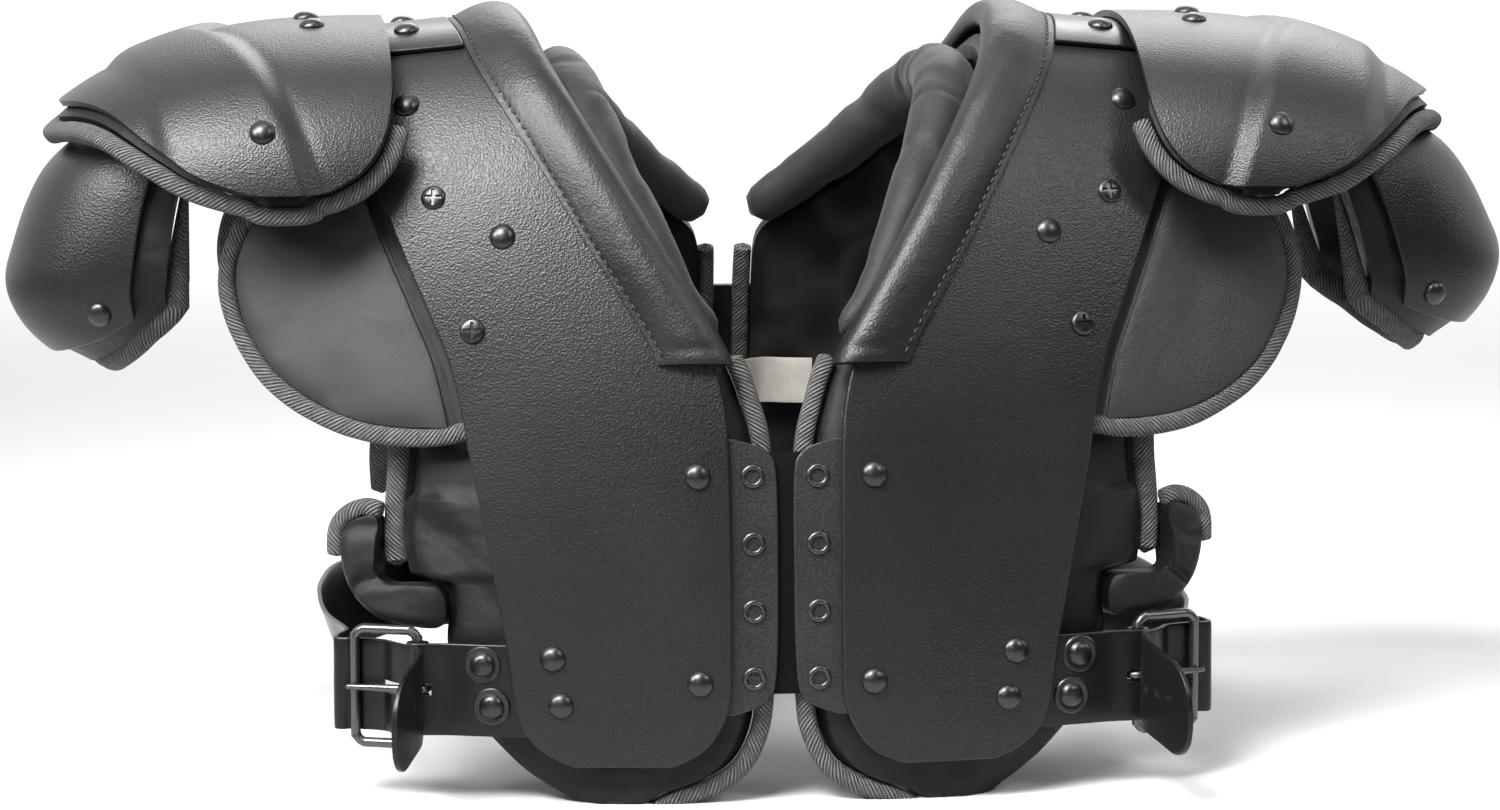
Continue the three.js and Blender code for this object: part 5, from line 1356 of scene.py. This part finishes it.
corner = 4.5
corner_up, corner_rear = FRAME_HALF_HEIGHT - corner, FRAME_LENGTH - corner
frame_corners = [(corner, corner_up), (corner_rear, corner_up), (corner_rear, -corner_up),
                 (corner, -corner_up)]
frame_line = [(x + corner * math.cos(angle), y + corner * math.sin(angle))
              for i, (x, y) in enumerate(frame_corners)
              for angle in math.pi - i * math.pi / 2 - np.linspace(0, math.pi / 2, 9)]
frame_line = smooth_path(frame_line, 140, closed=True)

clear = WIRE_RADIUS + PRONG_RADIUS + 0.5
prong_line = smooth_path([
    (1, -clear), (-0.75 * clear, -0.75 * clear), (-clear, 0.1 * clear), (-0.55 * clear, 0.85 * clear),
    (0.4 * clear, clear), (0.5 * FRAME_LENGTH, clear), (FRAME_LENGTH + 3, clear)], 70)

under = -(WIRE_RADIUS + BELT_THICKNESS / 2 + 0.4)
over = LOOP_RADIUS + BELT_THICKNESS + 0.4
belt_tail = [
    (-7, BELT_FREE_END, -9), (-7, 0.62 * BELT_FREE_END, -4), (-6, 0.32 * BELT_FREE_END, -1),
    (-2, over + 2.5, 0), (4.5, over - 1, 0), (9, 0.35 * over, 0), (15, 0.75 * under, 0),
    (FRAME_LENGTH, under, 0), (FRAME_LENGTH + 9, under, 0),
]
BELT_SIDE = [(167, -78, 0.3), (173, -40, 0.36), (175, 0, 0.36), (173, 40, 0.36), (165, 82, 0.3)]
belt_stops = [(*at_buckle(*place), 0) for place in belt_tail]
belt_stops += [(x, y, heel_bar[2], flare) for x, y, flare in BELT_SIDE]
for share in (0.959, 0.849, 0.767, 0.685, 0.603):
    x, y, z = torso.point(share * BAR_POSITION, 1 - BELT_ALONG, tab_lift)
    belt_stops.append((x, y, heel_bar[2], 0.12 if share > 0.9 else 0))
belt_line = smooth_path(belt_stops, 420)
belt_centres, flares = belt_line[:, :3], belt_line[:, 3]
travelled = running(np.linalg.norm(np.diff(belt_centres, axis=0), axis=1))
tip = 0.22 + 0.78 * np.sqrt(1 - (1 - np.clip(travelled / 15, 0, 1)) ** 2)
ahead = unit(np.gradient(belt_centres, axis=0) * (1, 1, 0))
aside = np.cross(ahead, upwards)
lean = unit(upwards + aside * (np.where(aside[:, :1] < 0, -1, 1) * flares[:, None]))
strip = oval(32, BELT_THICKNESS, BELT_WIDTH, 9)
belt_rings = (belt_centres[:, None] + aside[:, None] * strip[None, :, :1]
              + lean[:, None] * strip[None, :, 1:] * tip[:, None, None])

for side in SIDES:
    rings = swept_rings(tab_line, upwards + 0 * tab_line, strip)
    tab = set_down("belt_tab_strap", side, tube_mesh("tab", rings), [coated],
                   ["belt_tab"])
    cut_boxes(tab, side, [(at_buckle(1, 0), (14, 15, 5))])
    studs("tab_washers", side, torso, TAB_WASHERS, LACE_TOP - 0.2, WASHER, rivet_black)
    centres = np.array([at_buckle(rear, 0, up) for rear, up in frame_line])
    wire = oval(16, 2 * WIRE_RADIUS, 2 * WIRE_RADIUS)
    rings = swept_rings(centres, outward + 0 * centres, wire, closed=True)
    set_down("buckle_wire", side, tube_mesh("buckle", rings, closed=True), [metal],
             ["buckle_frame"])
    centres = np.array([at_buckle(rear, out) for rear, out in prong_line])
    taper = 1 - 0.3 * smooth(np.linspace(0, 1, len(centres)), 0.6, 1)
    thick = 2 * PRONG_RADIUS * taper * rounded_ends(centres, 1.5)
    rings = swept_rings(centres, upwards + 0 * centres, oval(14, 1, 1) * thick[:, None, None])
    set_down("prong", side, tube_mesh("prong", rings), [metal], ["buckle_prong"])
    strap = set_down("side_belt", side, tube_mesh("belt", belt_rings), [coated],
                     ["belt"])
    holes = [(at_buckle(-6, 10 + i * (BELT_FREE_END - 16) / 4, -3), (4, 12, 4)) for i in (1, 2, 3)]
    cut_boxes(strap, side, [(at_buckle(7, 3), (16, 15, 5)), *holes])

bpy.context.view_layer.update()
